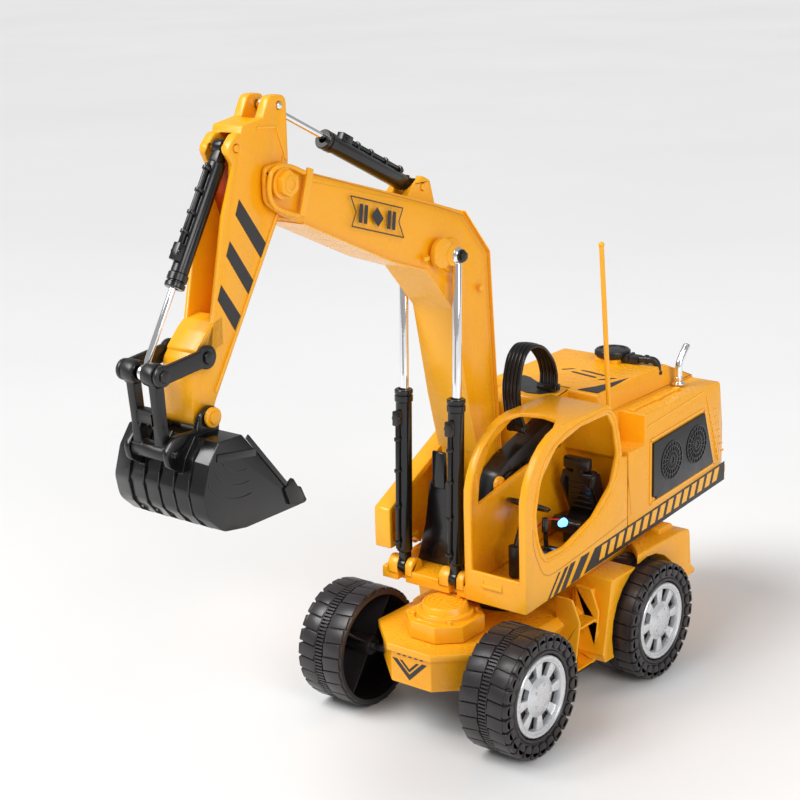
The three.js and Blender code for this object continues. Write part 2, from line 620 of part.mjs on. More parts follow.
function boomHalfShell(side) {
  const [x0, x1] = side > 0 ? [boomX + gap / 2, boomX + boomHalf] : [boomX - boomHalf, boomX - gap / 2];
  const shell = sidePlate(boomOutline, x0, x1);
  const inside = sidePlate([[-138, 300.4], [-52, 273], [-29, 265, 2], [-9.6, 242], [-5.2, 174], [-3, 132],
      [-16.2, 132],
    [-25.4, 169], [-35.6, 220.2], [-58.6, 245.8], [-86, 255.4], [-138, 279.6]],
  side > 0 ? boomX - 1 : boomX - boomHalf + wall, side > 0 ? boomX + boomHalf - wall : boomX + 1);
  const armRoom = crossBar(boomX - armRoomHalf, boomX + armRoomHalf, armPivot, 16, 28);
  const armSwing = sidePlate([[-175, 300], [-150, 300], [-152, 289], [-155.5, 270], [-175, 270]],
    boomX - armRoomHalf, boomX + armRoomHalf);
  const pivotHole = crossBar(-60, 30, armPivot, 3.4, 16);
  const footHole = crossBar(-60, 30, boomPivot, 3.3, 16);
  const footWeb = cut(crossBar(x0, x1, boomPivot, 8, 16), footHole);
  const middle = boomX + side * boomHalf;
  const outer = side * (cylinderSpacing - 3.2) + boomX;
  const boss = crossBar(Math.min(middle, outer), Math.max(middle, outer), liftEye, 8.5, 20);
  const eyeHole = crossBar(-60, 30, liftEye, 2.1, 12);
  return cut(join(cut(shell, inside), boss, footWeb), armRoom, armSwing, pivotHole, footHole, eyeHole);
}

function armCylinderLug(side) {
  const [x0, x1] = side > 0 ? [boomX + 3, boomX + 7.6] : [boomX - 7.6, boomX - 3];
  const lug = sidePlate([[-68, 279], [-60, 286.5, 3], [-54, 289.4, 4], [-48, 286, 3], [-44, 271]], x0, x1);
  return cut(lug, crossBar(-60, 30, armCylinderFoot, 1.9, 12));
}

const boom = assembly();
const cylinderNest = barBetween([boomX, ...armCylinderFoot], [boomX, ...armCylinderEye], 5.6, 16);
function boomHalfBody(side) {
  const room = crossBar(boomX - 3, boomX + 3, armCylinderFoot, 6, 20);
  return cut(join(boomHalfShell(side), armCylinderLug(side)), cylinderNest, room);
}
piece(boom, 'boom_half_left', boomHalfBody(1), yellow);
piece(boom, 'boom_half_right', boomHalfBody(-1), yellow);

function hexBolt(x0, x1, centre, shaft, head) {
  const stem = crossBar(x0, x1 + 2, centre, shaft, 12);
  const near = crossBar(x1, x1 + 4.4, centre, head, 6);
  const flange = crossBar(x1 + 0.2, x1 + 1.2, centre, head + 1, 18);
  return join(stem, near, flange);
}
const bolt = hexBolt(boomX - boomHalf + 0.5, boomX + boomHalf + gap, armPivot, 3, 5.8);
piece(boom, 'arm_pivot_bolt', bolt, yellow);
piece(boom, 'arm_cylinder_pin', crossBar(boomX - 7.4, boomX + 8.2, armCylinderFoot, 1.6, 12), yellow);

// ---- arm ----------------------------------------------------------------------------------
const arm = assembly();

function armBody() {
  const outlineArm = [
    [-152.2, 340.2, 4], [-163, 340.6, 4], [-168, 331.4], [-181, 329.5], [-196, 292], [-206.8, 246],
        [-221, 232, 6],
    [-221, 222], [-222.5, 204, 5], [-213, 199.6, 5], [-207, 212], [-192.9, 234.4], [-158.7, 289],
        [-152.6, 310.9],
  ];
  const side = (x0, x1) => sidePlate(outlineArm, x0, x1);
  const hollow = sidePlate([[-230, 246], [-205, 246], [-190, 246.5], [-163, 290], [-160, 310], [-172, 327],
    [-176, 326], [-195, 326]], boomX - armHalf + wall, boomX + armHalf - wall);
  const topSlot = sidePlate([[-140, 325], [-140, 350], [-175, 350], [-167, 327]], boomX - 4, boomX + 4);
  const frontLugs = [-1, 1].map((side2) => {
    const [x0, x1] = side2 > 0 ? [boomX + 4, boomX + armHalf] : [boomX - armHalf, boomX - 4];
    return sidePlate([[-176, 326], [-185, 326.4, 3], [-191.6, 320, 4], [-188, 313, 3], [-184, 296]], x0,
        x1);
  });
  const holes = [[armPivot, 3.4], [armCylinderEye, 1.9], [bucketCylinderFoot, 1.9], [rockerPivot, 2.3],
    [bucketPivot, 2.7]].map(([centre, radius]) => crossBar(-60, 30, centre, radius, 14));
  const rodRoom = crossBar(boomX - 3.2, boomX + 3.2, armCylinderEye, 5, 16);
  const barrelRoom = barBetween([boomX, ...bucketCylinderFoot], [boomX, ...linkPin], 6, 16);
  const footRoom = crossBar(boomX - 4, boomX + 4, bucketCylinderFoot, 6, 16);
  return cut(join(cut(side(boomX - armHalf, boomX + armHalf), hollow), ...frontLugs), topSlot, rodRoom,
      barrelRoom,
    footRoom, ...holes);
}
piece(arm, 'arm', armBody(), yellow);
piece(arm, 'rod_eye_pin', crossBar(boomX - armHalf - 0.6, boomX + armHalf + 0.6, armCylinderEye, 1.6, 12),
    chrome);
piece(arm, 'bucket_cylinder_pin', crossBar(boomX - armHalf - 0.6, boomX + armHalf + 0.6, bucketCylinderFoot,
    1.6, 12), yellow);
piece(arm, 'rocker_pin', crossBar(boomX - armHalf - 3.4, boomX + armHalf + 3.4, rockerPivot, 2, 12), black);

// ---- bucket and its linkage ---------------------------------------------------------------
const earInner = armHalf + 1.4;
const earOuter = earInner + 3;

function bucketBody() {
  const outer = [
    [-211.5, 200.4], [-226, 200.6], [-232.6, 192, 4], [-237, 179, 8], [-235, 168, 9], [-226, 159.6, 8],
    [-212, 157.4], [-177, 157.6], [-177.6, 160.4],
  ];
  const inner = [
    [-206, 197.6], [-224.8, 197.8], [-230, 191, 4], [-234.2, 179, 8], [-232.4, 169.4, 8], [-225, 162.4, 7],
    [-212, 160.4], [-170, 160.6],
  ];
  const shell = cut(sidePlate(outer, boomX - bucketHalf, boomX + bucketHalf),
    sidePlate(inner, boomX - bucketHalf + 2, boomX + bucketHalf - 2));
  const ears = [-1, 1].map((side) => {
    const [x0, x1] = [boomX + side * earInner, boomX + side * earOuter].sort((a, b) => a - b);
    const ear = sidePlate([[-211, 198], [-209.4, 208, 5], [-214, 213.4, 5], [-221.6, 209, 5], [-224, 203],
      [-237, 203.5, 3], [-243.6, 197.5, 4], [-242, 190.5, 3], [-234, 186]], x0, x1);
    return cut(ear, sidePlate(inner, -100, 100));
  });
  const teeth = [-2, -1, 0, 1, 2].map((i) => {
    const middle = boomX + i * 12.2;
    return sidePlate([[-182, 160.4], [-181, 166.5, 1.5], [-175, 166, 1], [-171.4, 158.4], [-173, 157.6],
        [-180, 157.6]],
      middle - 3.4, middle + 3.4);
  });
  const linkBar = crossBar(boomX - earOuter - 1.6, boomX + earOuter + 1.6, bucketLinkPin, 1.6, 12);
  return join(cut(join(shell, ...ears, ...teeth), crossBar(-60, 30, bucketPivot, 2.7, 14)), linkBar);
}
const bucket = assembly();
piece(bucket, 'bucket', bucketBody(), black);

function bucketPin() {
  const shaft = crossBar(boomX - earOuter - 1, boomX + earOuter + 1, bucketPivot, 2.4, 14);
  const heads = [-1, 1].map((side) => {
    const [x0, x1] = [boomX + side * (earOuter + gap),
        boomX + side * (earOuter + 2.4)].sort((a, b) => a - b);
    return crossBar(x0, x1, bucketPivot, 4.6, 16);
  });
  return join(shaft, ...heads);
}
piece(bucket, 'bucket_pin', bucketPin(), yellow);

const linkHalf = 9.6;
const rodEyeHalf = 2.4;
const linkEyeHole = 2.8;       // loose on the cross pin, because the four-bar is opened here

function hLink() {
  const reach = new THREE.Vector2(linkPin[0] - bucketLinkPin[0], linkPin[1] - bucketLinkPin[1]).length();
  const legs = [-1, 1].map((side) => {
    const foot = earInner - 3.2;
    const head = linkHalf - 2.6;
    return crossPlate([[head - 2.4, reach], [head + 2.4, reach], [foot + 1.6, 12], [foot + 2.2, 0],
      [foot - 3.4, 0], [head - 2.4, 14]].map(([x, z]) => [side * x, z]), -2.6, 2.6);
  });
  const bridge = block(-linkHalf + 2, linkHalf - 2, -2.4, 2.4, 12.5, 17);
  const bosses = [-1, 1].map((side) => {
    const [x0, x1] = [side * (rodEyeHalf + gap), side * linkHalf].sort((a, b) => a - b);
    return crossBar(x0, x1, [0, reach], 5.2, 18);
  });
  const foot = crossBar(-earInner + 0.6, earInner - 0.6, [0, 0], 4, 14);
  const body = join(...legs, bridge, ...bosses, foot);
  return cut(body, crossBar(-30, 30, [0, reach], linkEyeHole, 16), crossBar(-30, 30, [0, 0], 1.9, 12));
}
const linkLean = Math.atan2(-(linkPin[0] - bucketLinkPin[0]), linkPin[1] - bucketLinkPin[1]);
piece(assembly(), 'h_link', hLink(), black,
    { position: at(boomX, bucketLinkPin), rotation: [linkLean, 0, 0] });

function rocker() {
  const span = new THREE.Vector2(linkPin[0] - rockerPivot[0], linkPin[1] - rockerPivot[1]).length();
  const arms = [-1, 1].map((side) => {
    const [x0, x1] = [side * (linkHalf + 0.5), side * (linkHalf + 3.1)].sort((a, b) => a - b);
    const bar = block(x0, x1, -4, 4, 0, span);
    const ends = [crossBar(x0, x1, [0, 0], 5.4, 18), crossBar(x0, x1, [0, span], 4.8, 18)];
    return cut(join(bar, ...ends), crossBar(-30, 30, [0, 0], 2.3, 14));
  });
  const cross = crossBar(-linkHalf - 1, linkHalf + 1, [0, span], 1.6, 12);
  return join(...arms, cross);
}
const rockerLean = Math.atan2(-(linkPin[0] - rockerPivot[0]), linkPin[1] - rockerPivot[1]);
piece(assembly(), 'rocker', rocker(), black,
    { position: at(boomX, rockerPivot), rotation: [rockerLean, 0, 0] });

// ---- cylinders ----------------------------------------------------------------------------
// Each is built along +Z from its foot pin and leaned to its place. The rod runs beside the
// barrel's foot pin by shift, so that it stays inside the bore through the whole travel.
function lean(from, to) {
  return Math.atan2(-(to[0] - from[0]), to[1] - from[1]);
}

function barrel({ length, outer, bore, foot, neck, footHalf, shift, pinRadius, collar, pipeSide }) {
  const tube = barBetween([0, shift, neck], [0, shift, length], outer, 14);
  const mouth = barBetween([0, shift, length - 5], [0, shift, length], collar, 14);
  const eye = crossBar(-footHalf, footHalf, [0, 0], foot, 14);
  const stub = block(-footHalf, footHalf, -foot * 0.75, foot * 0.75, 0, neck + 2);
  const pipeY = shift + pipeSide * (outer + 1.2);
  const pipe = barBetween([0, pipeY, neck + 3], [0, pipeY, length - 20], 1.2, 6);
  const outTo = (reach, halfWidth, z0, z1) => {
    const [y0, y1] = [shift, shift + pipeSide * (outer + reach)].sort((a, b) => a - b);
    return block(-halfWidth, halfWidth, y0, y1, z0, z1);
  };
  const bands = [0.16, 0.42, 0.68].map((share) => {
    const z = neck + 3 + share * (length - 26 - neck);
    return outTo(2.6, 1.6, z - 1.5, z + 1.5);
  });
  const fitting = outTo(3, 2, length - 26, length - 18);
  const body = join(tube, mouth, eye, stub, pipe, ...bands, fitting);
  const hole = barBetween([0, shift, neck + 4], [0, shift, length + 1], bore, 12);
  return cut(body, hole, crossBar(-20, 20, [0, 0], pinRadius + gap, 10));
}

function rodBody({ from, to, radius, eyeRadius, eyeHalf, pinRadius }) {
  const stem = barBetween([0, 0, from], [0, 0, to - eyeRadius + 0.6], radius, 10);
  const eye = crossBar(-eyeHalf, eyeHalf, [0, to], eyeRadius, 14);
  return cut(join(stem, eye), crossBar(-20, 20, [0, to], pinRadius + gap, 10));
}

const distance = (a, b) => Math.hypot(a[0] - b[0], a[1] - b[1]);

const liftLength = distance(liftFoot, liftEye);
[['left', 1], ['right', -1]].forEach(([label, side]) => {
  const x = boomX + side * cylinderSpacing;
  const place = { position: at(x, liftFoot), rotation: [lean(liftFoot, liftEye), 0, 0] };
  const tube = barrel({ length: 98, outer: 4.3, bore: 3.4, foot: 4.2, neck: 8, footHalf: 2.2, shift: -0.56,
    pinRadius: 1.6, collar: 4.8, pipeSide: -1 });
  piece(assembly(), `lift_barrel_${label}`, tube, black, place);
  const stem = rodBody({ from: 36, to: liftLength, radius: 2.4, eyeRadius: 4.6, eyeHalf: 2.4,
      pinRadius: 1.8 });
  piece(assembly(), `lift_rod_${label}`, stem, chrome, place);
  const [x0, x1] = [x - side * 6, x + side * 2.7].sort((a, b) => a - b);
  const pin = join(crossBar(x0, x1, liftEye, 1.8, 12),
    crossBar(...[x + side * 2.7, x + side * 4.4].sort((a, b) => a - b), liftEye, 3.4, 12));
  piece(boom, `lift_eye_bolt_${label}`, pin, black);
});

const armCylinderPlace = {
  position: at(boomX, armCylinderFoot),
  rotation: [lean(armCylinderFoot, armCylinderEye), 0, 0],
};
const armTube = barrel({ length: 72, outer: 4.2, bore: 3, foot: 3.8, neck: 6.5, footHalf: 2.4, shift: -0.83,
  pinRadius: 1.6, collar: 4.7, pipeSide: 1 });
piece(assembly(), 'arm_barrel', armTube, black, armCylinderPlace);
const armStem = rodBody({ from: 24, to: distance(armCylinderFoot, armCylinderEye), radius: 1.6,
    eyeRadius: 3.6,
  eyeHalf: 2.6, pinRadius: 1.6 });
piece(assembly(), 'arm_rod', armStem, chrome, armCylinderPlace);

const bucketCylinderPlace = {
  position: at(boomX, bucketCylinderFoot),
  rotation: [lean(bucketCylinderFoot, linkPin), 0, 0],
};
const bucketTube = barrel({ length: 66, outer: 4, bore: 2.8, foot: 3.8, neck: 6.5, footHalf: 2.6,
    shift: -0.67,
  pinRadius: 1.6, collar: 4.4, pipeSide: 1 });
piece(assembly(), 'bucket_barrel', bucketTube, black, bucketCylinderPlace);
const bucketStem = rodBody({ from: 30, to: distance(bucketCylinderFoot, linkPin), radius: 1.5,
    eyeRadius: 3.6,
  eyeHalf: 2, pinRadius: 1.6 });
piece(assembly(), 'bucket_rod', bucketStem, chrome, bucketCylinderPlace);

export default excavator;
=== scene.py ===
import json
import math

import bmesh
import bpy
from mathutils import Matrix, Vector


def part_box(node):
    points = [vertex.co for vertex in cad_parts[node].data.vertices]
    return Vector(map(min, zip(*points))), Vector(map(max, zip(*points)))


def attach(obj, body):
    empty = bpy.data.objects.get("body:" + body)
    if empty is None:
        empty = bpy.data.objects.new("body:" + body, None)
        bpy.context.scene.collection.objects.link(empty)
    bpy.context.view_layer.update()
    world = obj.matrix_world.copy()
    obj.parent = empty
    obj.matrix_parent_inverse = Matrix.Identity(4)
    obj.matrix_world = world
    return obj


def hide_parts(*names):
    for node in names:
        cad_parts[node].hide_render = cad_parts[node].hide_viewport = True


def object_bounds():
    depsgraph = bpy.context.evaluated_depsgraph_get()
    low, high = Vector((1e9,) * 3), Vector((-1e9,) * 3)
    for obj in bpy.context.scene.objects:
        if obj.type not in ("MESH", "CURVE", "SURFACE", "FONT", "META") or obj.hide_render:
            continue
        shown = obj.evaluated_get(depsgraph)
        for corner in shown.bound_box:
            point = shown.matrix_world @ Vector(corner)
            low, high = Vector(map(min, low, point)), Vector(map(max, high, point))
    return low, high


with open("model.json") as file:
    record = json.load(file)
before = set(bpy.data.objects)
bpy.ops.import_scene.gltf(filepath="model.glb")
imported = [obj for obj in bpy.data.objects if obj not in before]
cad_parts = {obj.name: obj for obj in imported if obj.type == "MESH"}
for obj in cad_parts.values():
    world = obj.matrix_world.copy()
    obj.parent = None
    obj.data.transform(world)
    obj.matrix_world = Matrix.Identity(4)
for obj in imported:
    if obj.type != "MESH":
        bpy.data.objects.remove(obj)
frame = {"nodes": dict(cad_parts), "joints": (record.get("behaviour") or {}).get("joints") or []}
cadBounds = [list(corner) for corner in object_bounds()]
print("frame loaded")

mm = 0.001
joints = {joint["name"]: joint for joint in frame["joints"]}
slewY = joints["slew_hinge"]["pos_m"][1]  # lengths below are in mm from the slew axis
boomX = joints["boom_hinge"]["pos_m"][0] / mm
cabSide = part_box("cab_shell")[1].x / mm
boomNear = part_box("boom_half_left")[1].x / mm
wheelFace = cadBounds[1][0] / mm

along = Matrix(((0, 0, 1, 0), (1, 0, 0, 0), (0, 1, 0, 0), (0, 0, 0, 1)))  # local z becomes x
facing = Matrix(((1, 0, 0, 0), (0, 0, -1, 0), (0, 1, 0, 0), (0, 0, 0, 1)))  # local z becomes -y


def spot(x, y, z):
    return Vector((x * mm, y * mm + slewY, z * mm))


def placed(x, y, z):
    return Matrix.Translation(spot(x, y, z))


def pinOf(name):
    x, y, z = joints[name]["pos_m"]
    return x / mm, (y - slewY) / mm, z / mm


# ---- shapes ----
def block(low, high, rounding=0.4):
    low, high = Vector(low) * mm, Vector(high) * mm
    bm = bmesh.new()
    bmesh.ops.create_cube(bm, size=1)
    bmesh.ops.scale(bm, vec=high - low, verts=bm.verts)
    bmesh.ops.translate(bm, vec=(low + high) / 2, verts=bm.verts)
    if rounding:
        bmesh.ops.bevel(bm, geom=bm.edges[:], offset=rounding * mm, segments=2, profile=0.5,
                        affect="EDGES", material=-1, clamp_overlap=True)
    return bm


def turned(profile, steps=48):  # (along z, radius) pairs, on the axis at both ends or closed
    bm = bmesh.new()
    verts = [bm.verts.new((radius * mm, 0, z * mm)) for z, radius in profile]
    edges = [bm.edges.new(pair) for pair in zip(verts, verts[1:])]
    bmesh.ops.spin(bm, geom=verts + edges, cent=(0, 0, 0), axis=(0, 0, 1), dvec=(0, 0, 0),
                   angle=2 * math.pi, steps=steps, use_merge=True, use_duplicate=False)
    bmesh.ops.remove_doubles(bm, verts=bm.verts, dist=1e-6)
    bmesh.ops.recalc_face_normals(bm, faces=bm.faces)
    return bm


def ring(z0, z1, inner, outer, rounding=0.3, steps=48):
    r = rounding
    return turned([(z0, inner), (z0, outer - r), (z0 + r * 0.3, outer - r * 0.3), (z0 + r, outer),
                   (z1 - r, outer),
                   (z1 - r * 0.3, outer - r * 0.3), (z1, outer - r), (z1, inner), (z0, inner)], steps)


def drum(z0, z1, radius, rounding=0.4, steps=32):
    r = rounding
    return turned([(z0, 0), (z0, radius - r), (z0 + r * 0.3, radius - r * 0.3), (z0 + r, radius),
                   (z1 - r, radius),
                   (z1 - r * 0.3, radius - r * 0.3), (z1, radius - r), (z1, 0)], steps)


def hexHead(z0, z1, radius):
    bm = bmesh.new()
    bmesh.ops.create_cone(bm, cap_ends=True, segments=6, radius1=radius * mm, radius2=radius * mm,
                          depth=(z1 - z0) * mm, matrix=Matrix.Translation((0, 0, (z0 + z1) / 2 * mm)))
    bmesh.ops.bevel(bm, geom=bm.edges[:], offset=0.45 * mm, segments=2, profile=0.5, affect="EDGES",
                    material=-1, clamp_overlap=True)
    return bm


def plate(corners, thickness, rounding=0.0):
    bm = bmesh.new()
    face = bm.faces.new([bm.verts.new((a * mm, b * mm, 0)) for a, b in corners])
    up = bmesh.ops.extrude_face_region(bm, geom=[face])["geom"]
    bmesh.ops.translate(bm, vec=(0, 0, thickness * mm),
                        verts=[v for v in up if isinstance(v, bmesh.types.BMVert)])
    bmesh.ops.recalc_face_normals(bm, faces=bm.faces)
    if rounding:
        bmesh.ops.bevel(bm, geom=bm.edges[:], offset=rounding * mm, segments=2, profile=0.5, affect="EDGES",
                        material=-1, clamp_overlap=True)
    return bm


def strip(points, width):  # quads along a polyline, as plan corners
    quads = []
    for (a0, b0), (a1, b1) in zip(points, points[1:]):
        run = Vector((a1 - a0, b1 - b0)).normalized() * width / 2
        quads.append([(a0 - run.y, b0 + run.x), (a0 + run.y, b0 - run.x), (a1 + run.y, b1 - run.x),
                      (a1 - run.y, b1 + run.x)])
    return quads


def wire(points, radius, name="wire", smooth=8):  # a round tube on a smooth path, as a bmesh
    curve = bpy.data.curves.new(name, "CURVE")
    curve.dimensions = "3D"
    curve.bevel_depth = radius * mm
    curve.bevel_resolution = 4
    curve.resolution_u = smooth
    curve.use_fill_caps = True
    spline = curve.splines.new("BEZIER")
    spline.bezier_points.add(len(points) - 1)
    for knot, point in zip(spline.bezier_points, points):
        knot.co = spot(*point)
        knot.handle_left_type = knot.handle_right_type = "AUTO"
    holder = bpy.data.objects.new(name, curve)
    mesh = bpy.data.meshes.new_from_object(holder)
    bm = bmesh.new()
    bm.from_mesh(mesh)
    bpy.data.objects.remove(holder)
    bpy.data.meshes.remove(mesh)
    bpy.data.curves.remove(curve)
    bmesh.ops.remove_doubles(bm, verts=bm.verts, dist=1e-6)
    bmesh.ops.recalc_face_normals(bm, faces=bm.faces)
    return bm


def add(bm, part, place=Matrix.Identity(4)):
    mesh = bpy.data.meshes.new("part")
    part.to_mesh(mesh)
    part.free()
    mesh.transform(place)
    bm.from_mesh(mesh)
    bpy.data.meshes.remove(mesh)


def makePiece(name, bm, material, body, replaced=(), sharp=38):
    mesh = bpy.data.meshes.new(name)
    bm.to_mesh(mesh)
    bm.free()
    mesh.materials.append(material)
    mesh.polygons.foreach_set("use_smooth", [True] * len(mesh.polygons))
    mesh.set_sharp_from_angle(angle=math.radians(sharp))
    piece = bpy.data.objects.new(name, mesh)
    bpy.context.scene.collection.objects.link(piece)
    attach(piece, body)
    if replaced:
        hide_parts(*replaced)
    return piece


def softened(node, name, material, body, slot, width=0.45, sharp=38, seam=None, tip=None):
    bm = bmesh.new()  # a copy of the node with rounded edges
    bm.from_mesh(frame["nodes"][node].data)
    bmesh.ops.remove_doubles(bm, verts=bm.verts, dist=2e-6)
    bmesh.ops.dissolve_limit(bm, angle_limit=math.radians(0.6), verts=bm.verts, edges=bm.edges)
    if tip:  # rounds the corners that run across, ahead of tip["y"]
        corners = [edge for edge in bm.edges if edge.calc_face_angle(0) > math.radians(12)
                   and all(v.co.y < tip["y"] * mm + slewY for v in edge.verts)
                   and abs((edge.verts[0].co - edge.verts[1].co).normalized().x) > 0.99]
        bmesh.ops.bevel(bm, geom=corners, offset=tip["offset"] * mm, segments=4, profile=0.5, affect="EDGES",
                        material=-1, clamp_overlap=True)
    weight = bm.edges.layers.float.new("bevel_weight_edge")
    for edge in bm.edges:
        onSeam = seam is not None and all(abs(v.co.x - seam * mm) < 2e-5 for v in edge.verts)
        edge[weight] = 1.0 if edge.calc_face_angle(0) > math.radians(sharp) and not onSeam else 0.0
    piece = makePiece(name, bm, material, body, (node,), 180)
    rounding = piece.modifiers.new("rounding", "BEVEL")
    rounding.width = width * mm
    rounding.segments = 2
    rounding.limit_method = "WEIGHT"
    rounding.use_clamp_overlap = False
    rounding.harden_normals = True
    return piece


# ---- finishes ----
def mouldedFinish(name, look):
    material = bpy.data.materials.new(name)
    material.use_nodes = True
    nodes, links = material.node_tree.nodes, material.node_tree.links
    shader = nodes["Principled BSDF"]
    shader.inputs["Metallic"].default_value = look.get("metal", 0)
    shader.inputs["IOR"].default_value = look.get("ior", 1.5)
    shader.inputs["Coat Weight"].default_value = look.get("coat", 0)
    shader.inputs["Coat Roughness"].default_value = 0.12
    coords = nodes.new("ShaderNodeTexCoord")

    mottle = nodes.new("ShaderNodeTexNoise")  # slow colour drift of the moulding
    mottle.inputs["Scale"].default_value = look.get("mottle", 28)
    mottle.inputs["Detail"].default_value = 4
    links.new(coords.outputs["Object"], mottle.inputs["Vector"])
    tone = nodes.new("ShaderNodeMix")
    tone.data_type = "RGBA"
    tone.inputs[6].default_value = (*look["colour"], 1)
    tone.inputs[7].default_value = (*look["deep"], 1)
    links.new(mottle.outputs["Fac"], tone.inputs[0])

    edge = nodes.new("ShaderNodeNewGeometry")  # rubbed edges come out lighter
    ramp = nodes.new("ShaderNodeMapRange")
    ramp.inputs["From Min"].default_value = 0.52
    ramp.inputs["From Max"].default_value = 0.62
    ramp.inputs["To Max"].default_value = look.get("rub", 0.35)
    links.new(edge.outputs["Pointiness"], ramp.inputs["Value"])
    rubbed = nodes.new("ShaderNodeMix")
    rubbed.data_type = "RGBA"
    rubbed.inputs[7].default_value = (*look.get("rubbed", look["colour"]), 1)
    links.new(ramp.outputs["Result"], rubbed.inputs[0])
    links.new(tone.outputs[2], rubbed.inputs[6])
    links.new(rubbed.outputs[2], shader.inputs["Base Color"])

    sheen = nodes.new("ShaderNodeTexNoise")  # handling marks in the gloss
    sheen.inputs["Scale"].default_value = look.get("smear", 90)
    sheen.inputs["Detail"].default_value = 6
    links.new(coords.outputs["Object"], sheen.inputs["Vector"])
    gloss = nodes.new("ShaderNodeMapRange")
    gloss.inputs["From Min"].default_value = 0.3
    gloss.inputs["From Max"].default_value = 0.7
    gloss.inputs["To Min"].default_value = look["roughness"][0]
    gloss.inputs["To Max"].default_value = look["roughness"][1]
    links.new(sheen.outputs["Fac"], gloss.inputs["Value"])
    links.new(gloss.outputs["Result"], shader.inputs["Roughness"])

    fine = nodes.new("ShaderNodeTexNoise")
    fine.inputs["Scale"].default_value = look.get("fine", 900)
    fine.inputs["Detail"].default_value = 3
    links.new(coords.outputs["Object"], fine.inputs["Vector"])
    height = fine.outputs["Fac"]
    if look.get("leather"):  # a moulded leather grain, only where the surface looks up
        cells = nodes.new("ShaderNodeTexVoronoi")
        cells.feature = "SMOOTH_F1"
        cells.inputs["Scale"].default_value = look["leather"]
        links.new(coords.outputs["Object"], cells.inputs["Vector"])
        split = nodes.new("ShaderNodeSeparateXYZ")
        links.new(coords.outputs["Normal"], split.inputs[0])
        upward = nodes.new("ShaderNodeMapRange")
        upward.inputs["From Min"].default_value = 0.93
        upward.inputs["From Max"].default_value = 0.99
        links.new(split.outputs["Z"], upward.inputs["Value"])
        grain = nodes.new("ShaderNodeMath")
        grain.operation = "MULTIPLY"
        links.new(cells.outputs["Distance"], grain.inputs[0])
        links.new(upward.outputs["Result"], grain.inputs[1])
        both = nodes.new("ShaderNodeMath")
        both.operation = "MULTIPLY_ADD"
        both.inputs[1].default_value = 9
        links.new(grain.outputs[0], both.inputs[0])
        links.new(height, both.inputs[2])
        height = both.outputs[0]
    bump = nodes.new("ShaderNodeBump")
    bump.inputs["Strength"].default_value = look.get("bump", 0.12)
    bump.inputs["Distance"].default_value = 0.00012
    links.new(height, bump.inputs["Height"])
    links.new(bump.outputs["Normal"], shader.inputs["Normal"])
    return material


finishes = {
    "yellow": {"colour": (0.97, 0.43, 0.006), "deep": (0.93, 0.385, 0.004), "rubbed": (1.0, 0.56, 0.05),
               "roughness": (0.2, 0.32)},
    "grainedYellow": {"colour": (0.96, 0.42, 0.006), "deep": (0.92, 0.37, 0.004), "rubbed": (1.0, 0.56, 0.05),
                      "roughness": (0.24, 0.36), "leather": 620, "bump": 0.5},
    "black": {"colour": (0.006, 0.0055, 0.006), "deep": (0.004, 0.004, 0.0045), "rubbed": (0.03, 0.029, 0.03),
              "roughness": (0.13, 0.24)},
    "satinBlack": {"colour": (0.009, 0.008, 0.0085), "deep": (0.006, 0.0055, 0.006),
                   "rubbed": (0.04, 0.038, 0.038),
                   "roughness": (0.27, 0.4)},
    "tyre": {"colour": (0.016, 0.011, 0.013), "deep": (0.01, 0.0075, 0.0085), "rubbed": (0.055, 0.047, 0.05),
             "roughness": (0.3, 0.44), "fine": 700, "bump": 0.3, "rub": 0.5},
    "silver": {"colour": (0.72, 0.73, 0.74), "deep": (0.58, 0.59, 0.61), "rubbed": (0.88, 0.89, 0.9),
               "metal": 0.5,
               "roughness": (0.2, 0.36), "mottle": 160, "fine": 500, "bump": 0.5},
    "chrome": {"colour": (0.9, 0.9, 0.91), "deep": (0.82, 0.83, 0.85), "metal": 1, "roughness": (0.03, 0.09)},
    "steel": {"colour": (0.5, 0.5, 0.51), "deep": (0.42, 0.42, 0.43), "metal": 1, "roughness": (0.25, 0.4)},
    "brass": {"colour": (0.72, 0.48, 0.16), "deep": (0.62, 0.4, 0.13), "metal": 1, "roughness": (0.25, 0.4)},
    "board": {"colour": (0.01, 0.12, 0.04), "deep": (0.008, 0.09, 0.03), "roughness": (0.35, 0.5)},
    "sleeve": {"colour": (0.02, 0.13, 0.08), "deep": (0.015, 0.1, 0.06), "roughness": (0.25, 0.4)},
    # decal: the near-black of the printed decals, also used as painted shade in the exhaust pipe's open end
    "decal": {"colour": (0.026, 0.022, 0.023), "deep": (0.017, 0.015, 0.016), "roughness": (0.34, 0.5),
              "bump": 0.06},
    # grooveShade: darker orange painted on the moulded groove lines as painted shade; the grooves are the
    # body's own yellow
    "grooveShade": {"colour": (0.55, 0.19, 0.003), "deep": (0.48, 0.16, 0.002), "roughness": (0.4, 0.5)},
    "redInside": {"colour": (0.55, 0.06, 0.003), "deep": (0.45, 0.045, 0.002), "roughness": (0.35, 0.5)},
    "redWire": {"colour": (0.6, 0.01, 0.01), "deep": (0.5, 0.01, 0.01), "roughness": (0.3, 0.45)},
}
paint = {name: mouldedFinish(name, look) for name, look in finishes.items()}
lamp = mouldedFinish("lampLens", {"colour": (0.25, 0.5, 1.0), "deep": (0.2, 0.4, 1.0),
                                  "roughness": (0.1, 0.2)})
lampShader = lamp.node_tree.nodes["Principled BSDF"]
lampShader.inputs["Emission Color"].default_value = (0.1, 0.42, 1.0, 1)
lampShader.inputs["Emission Strength"].default_value = 3.2
print("finishes made")

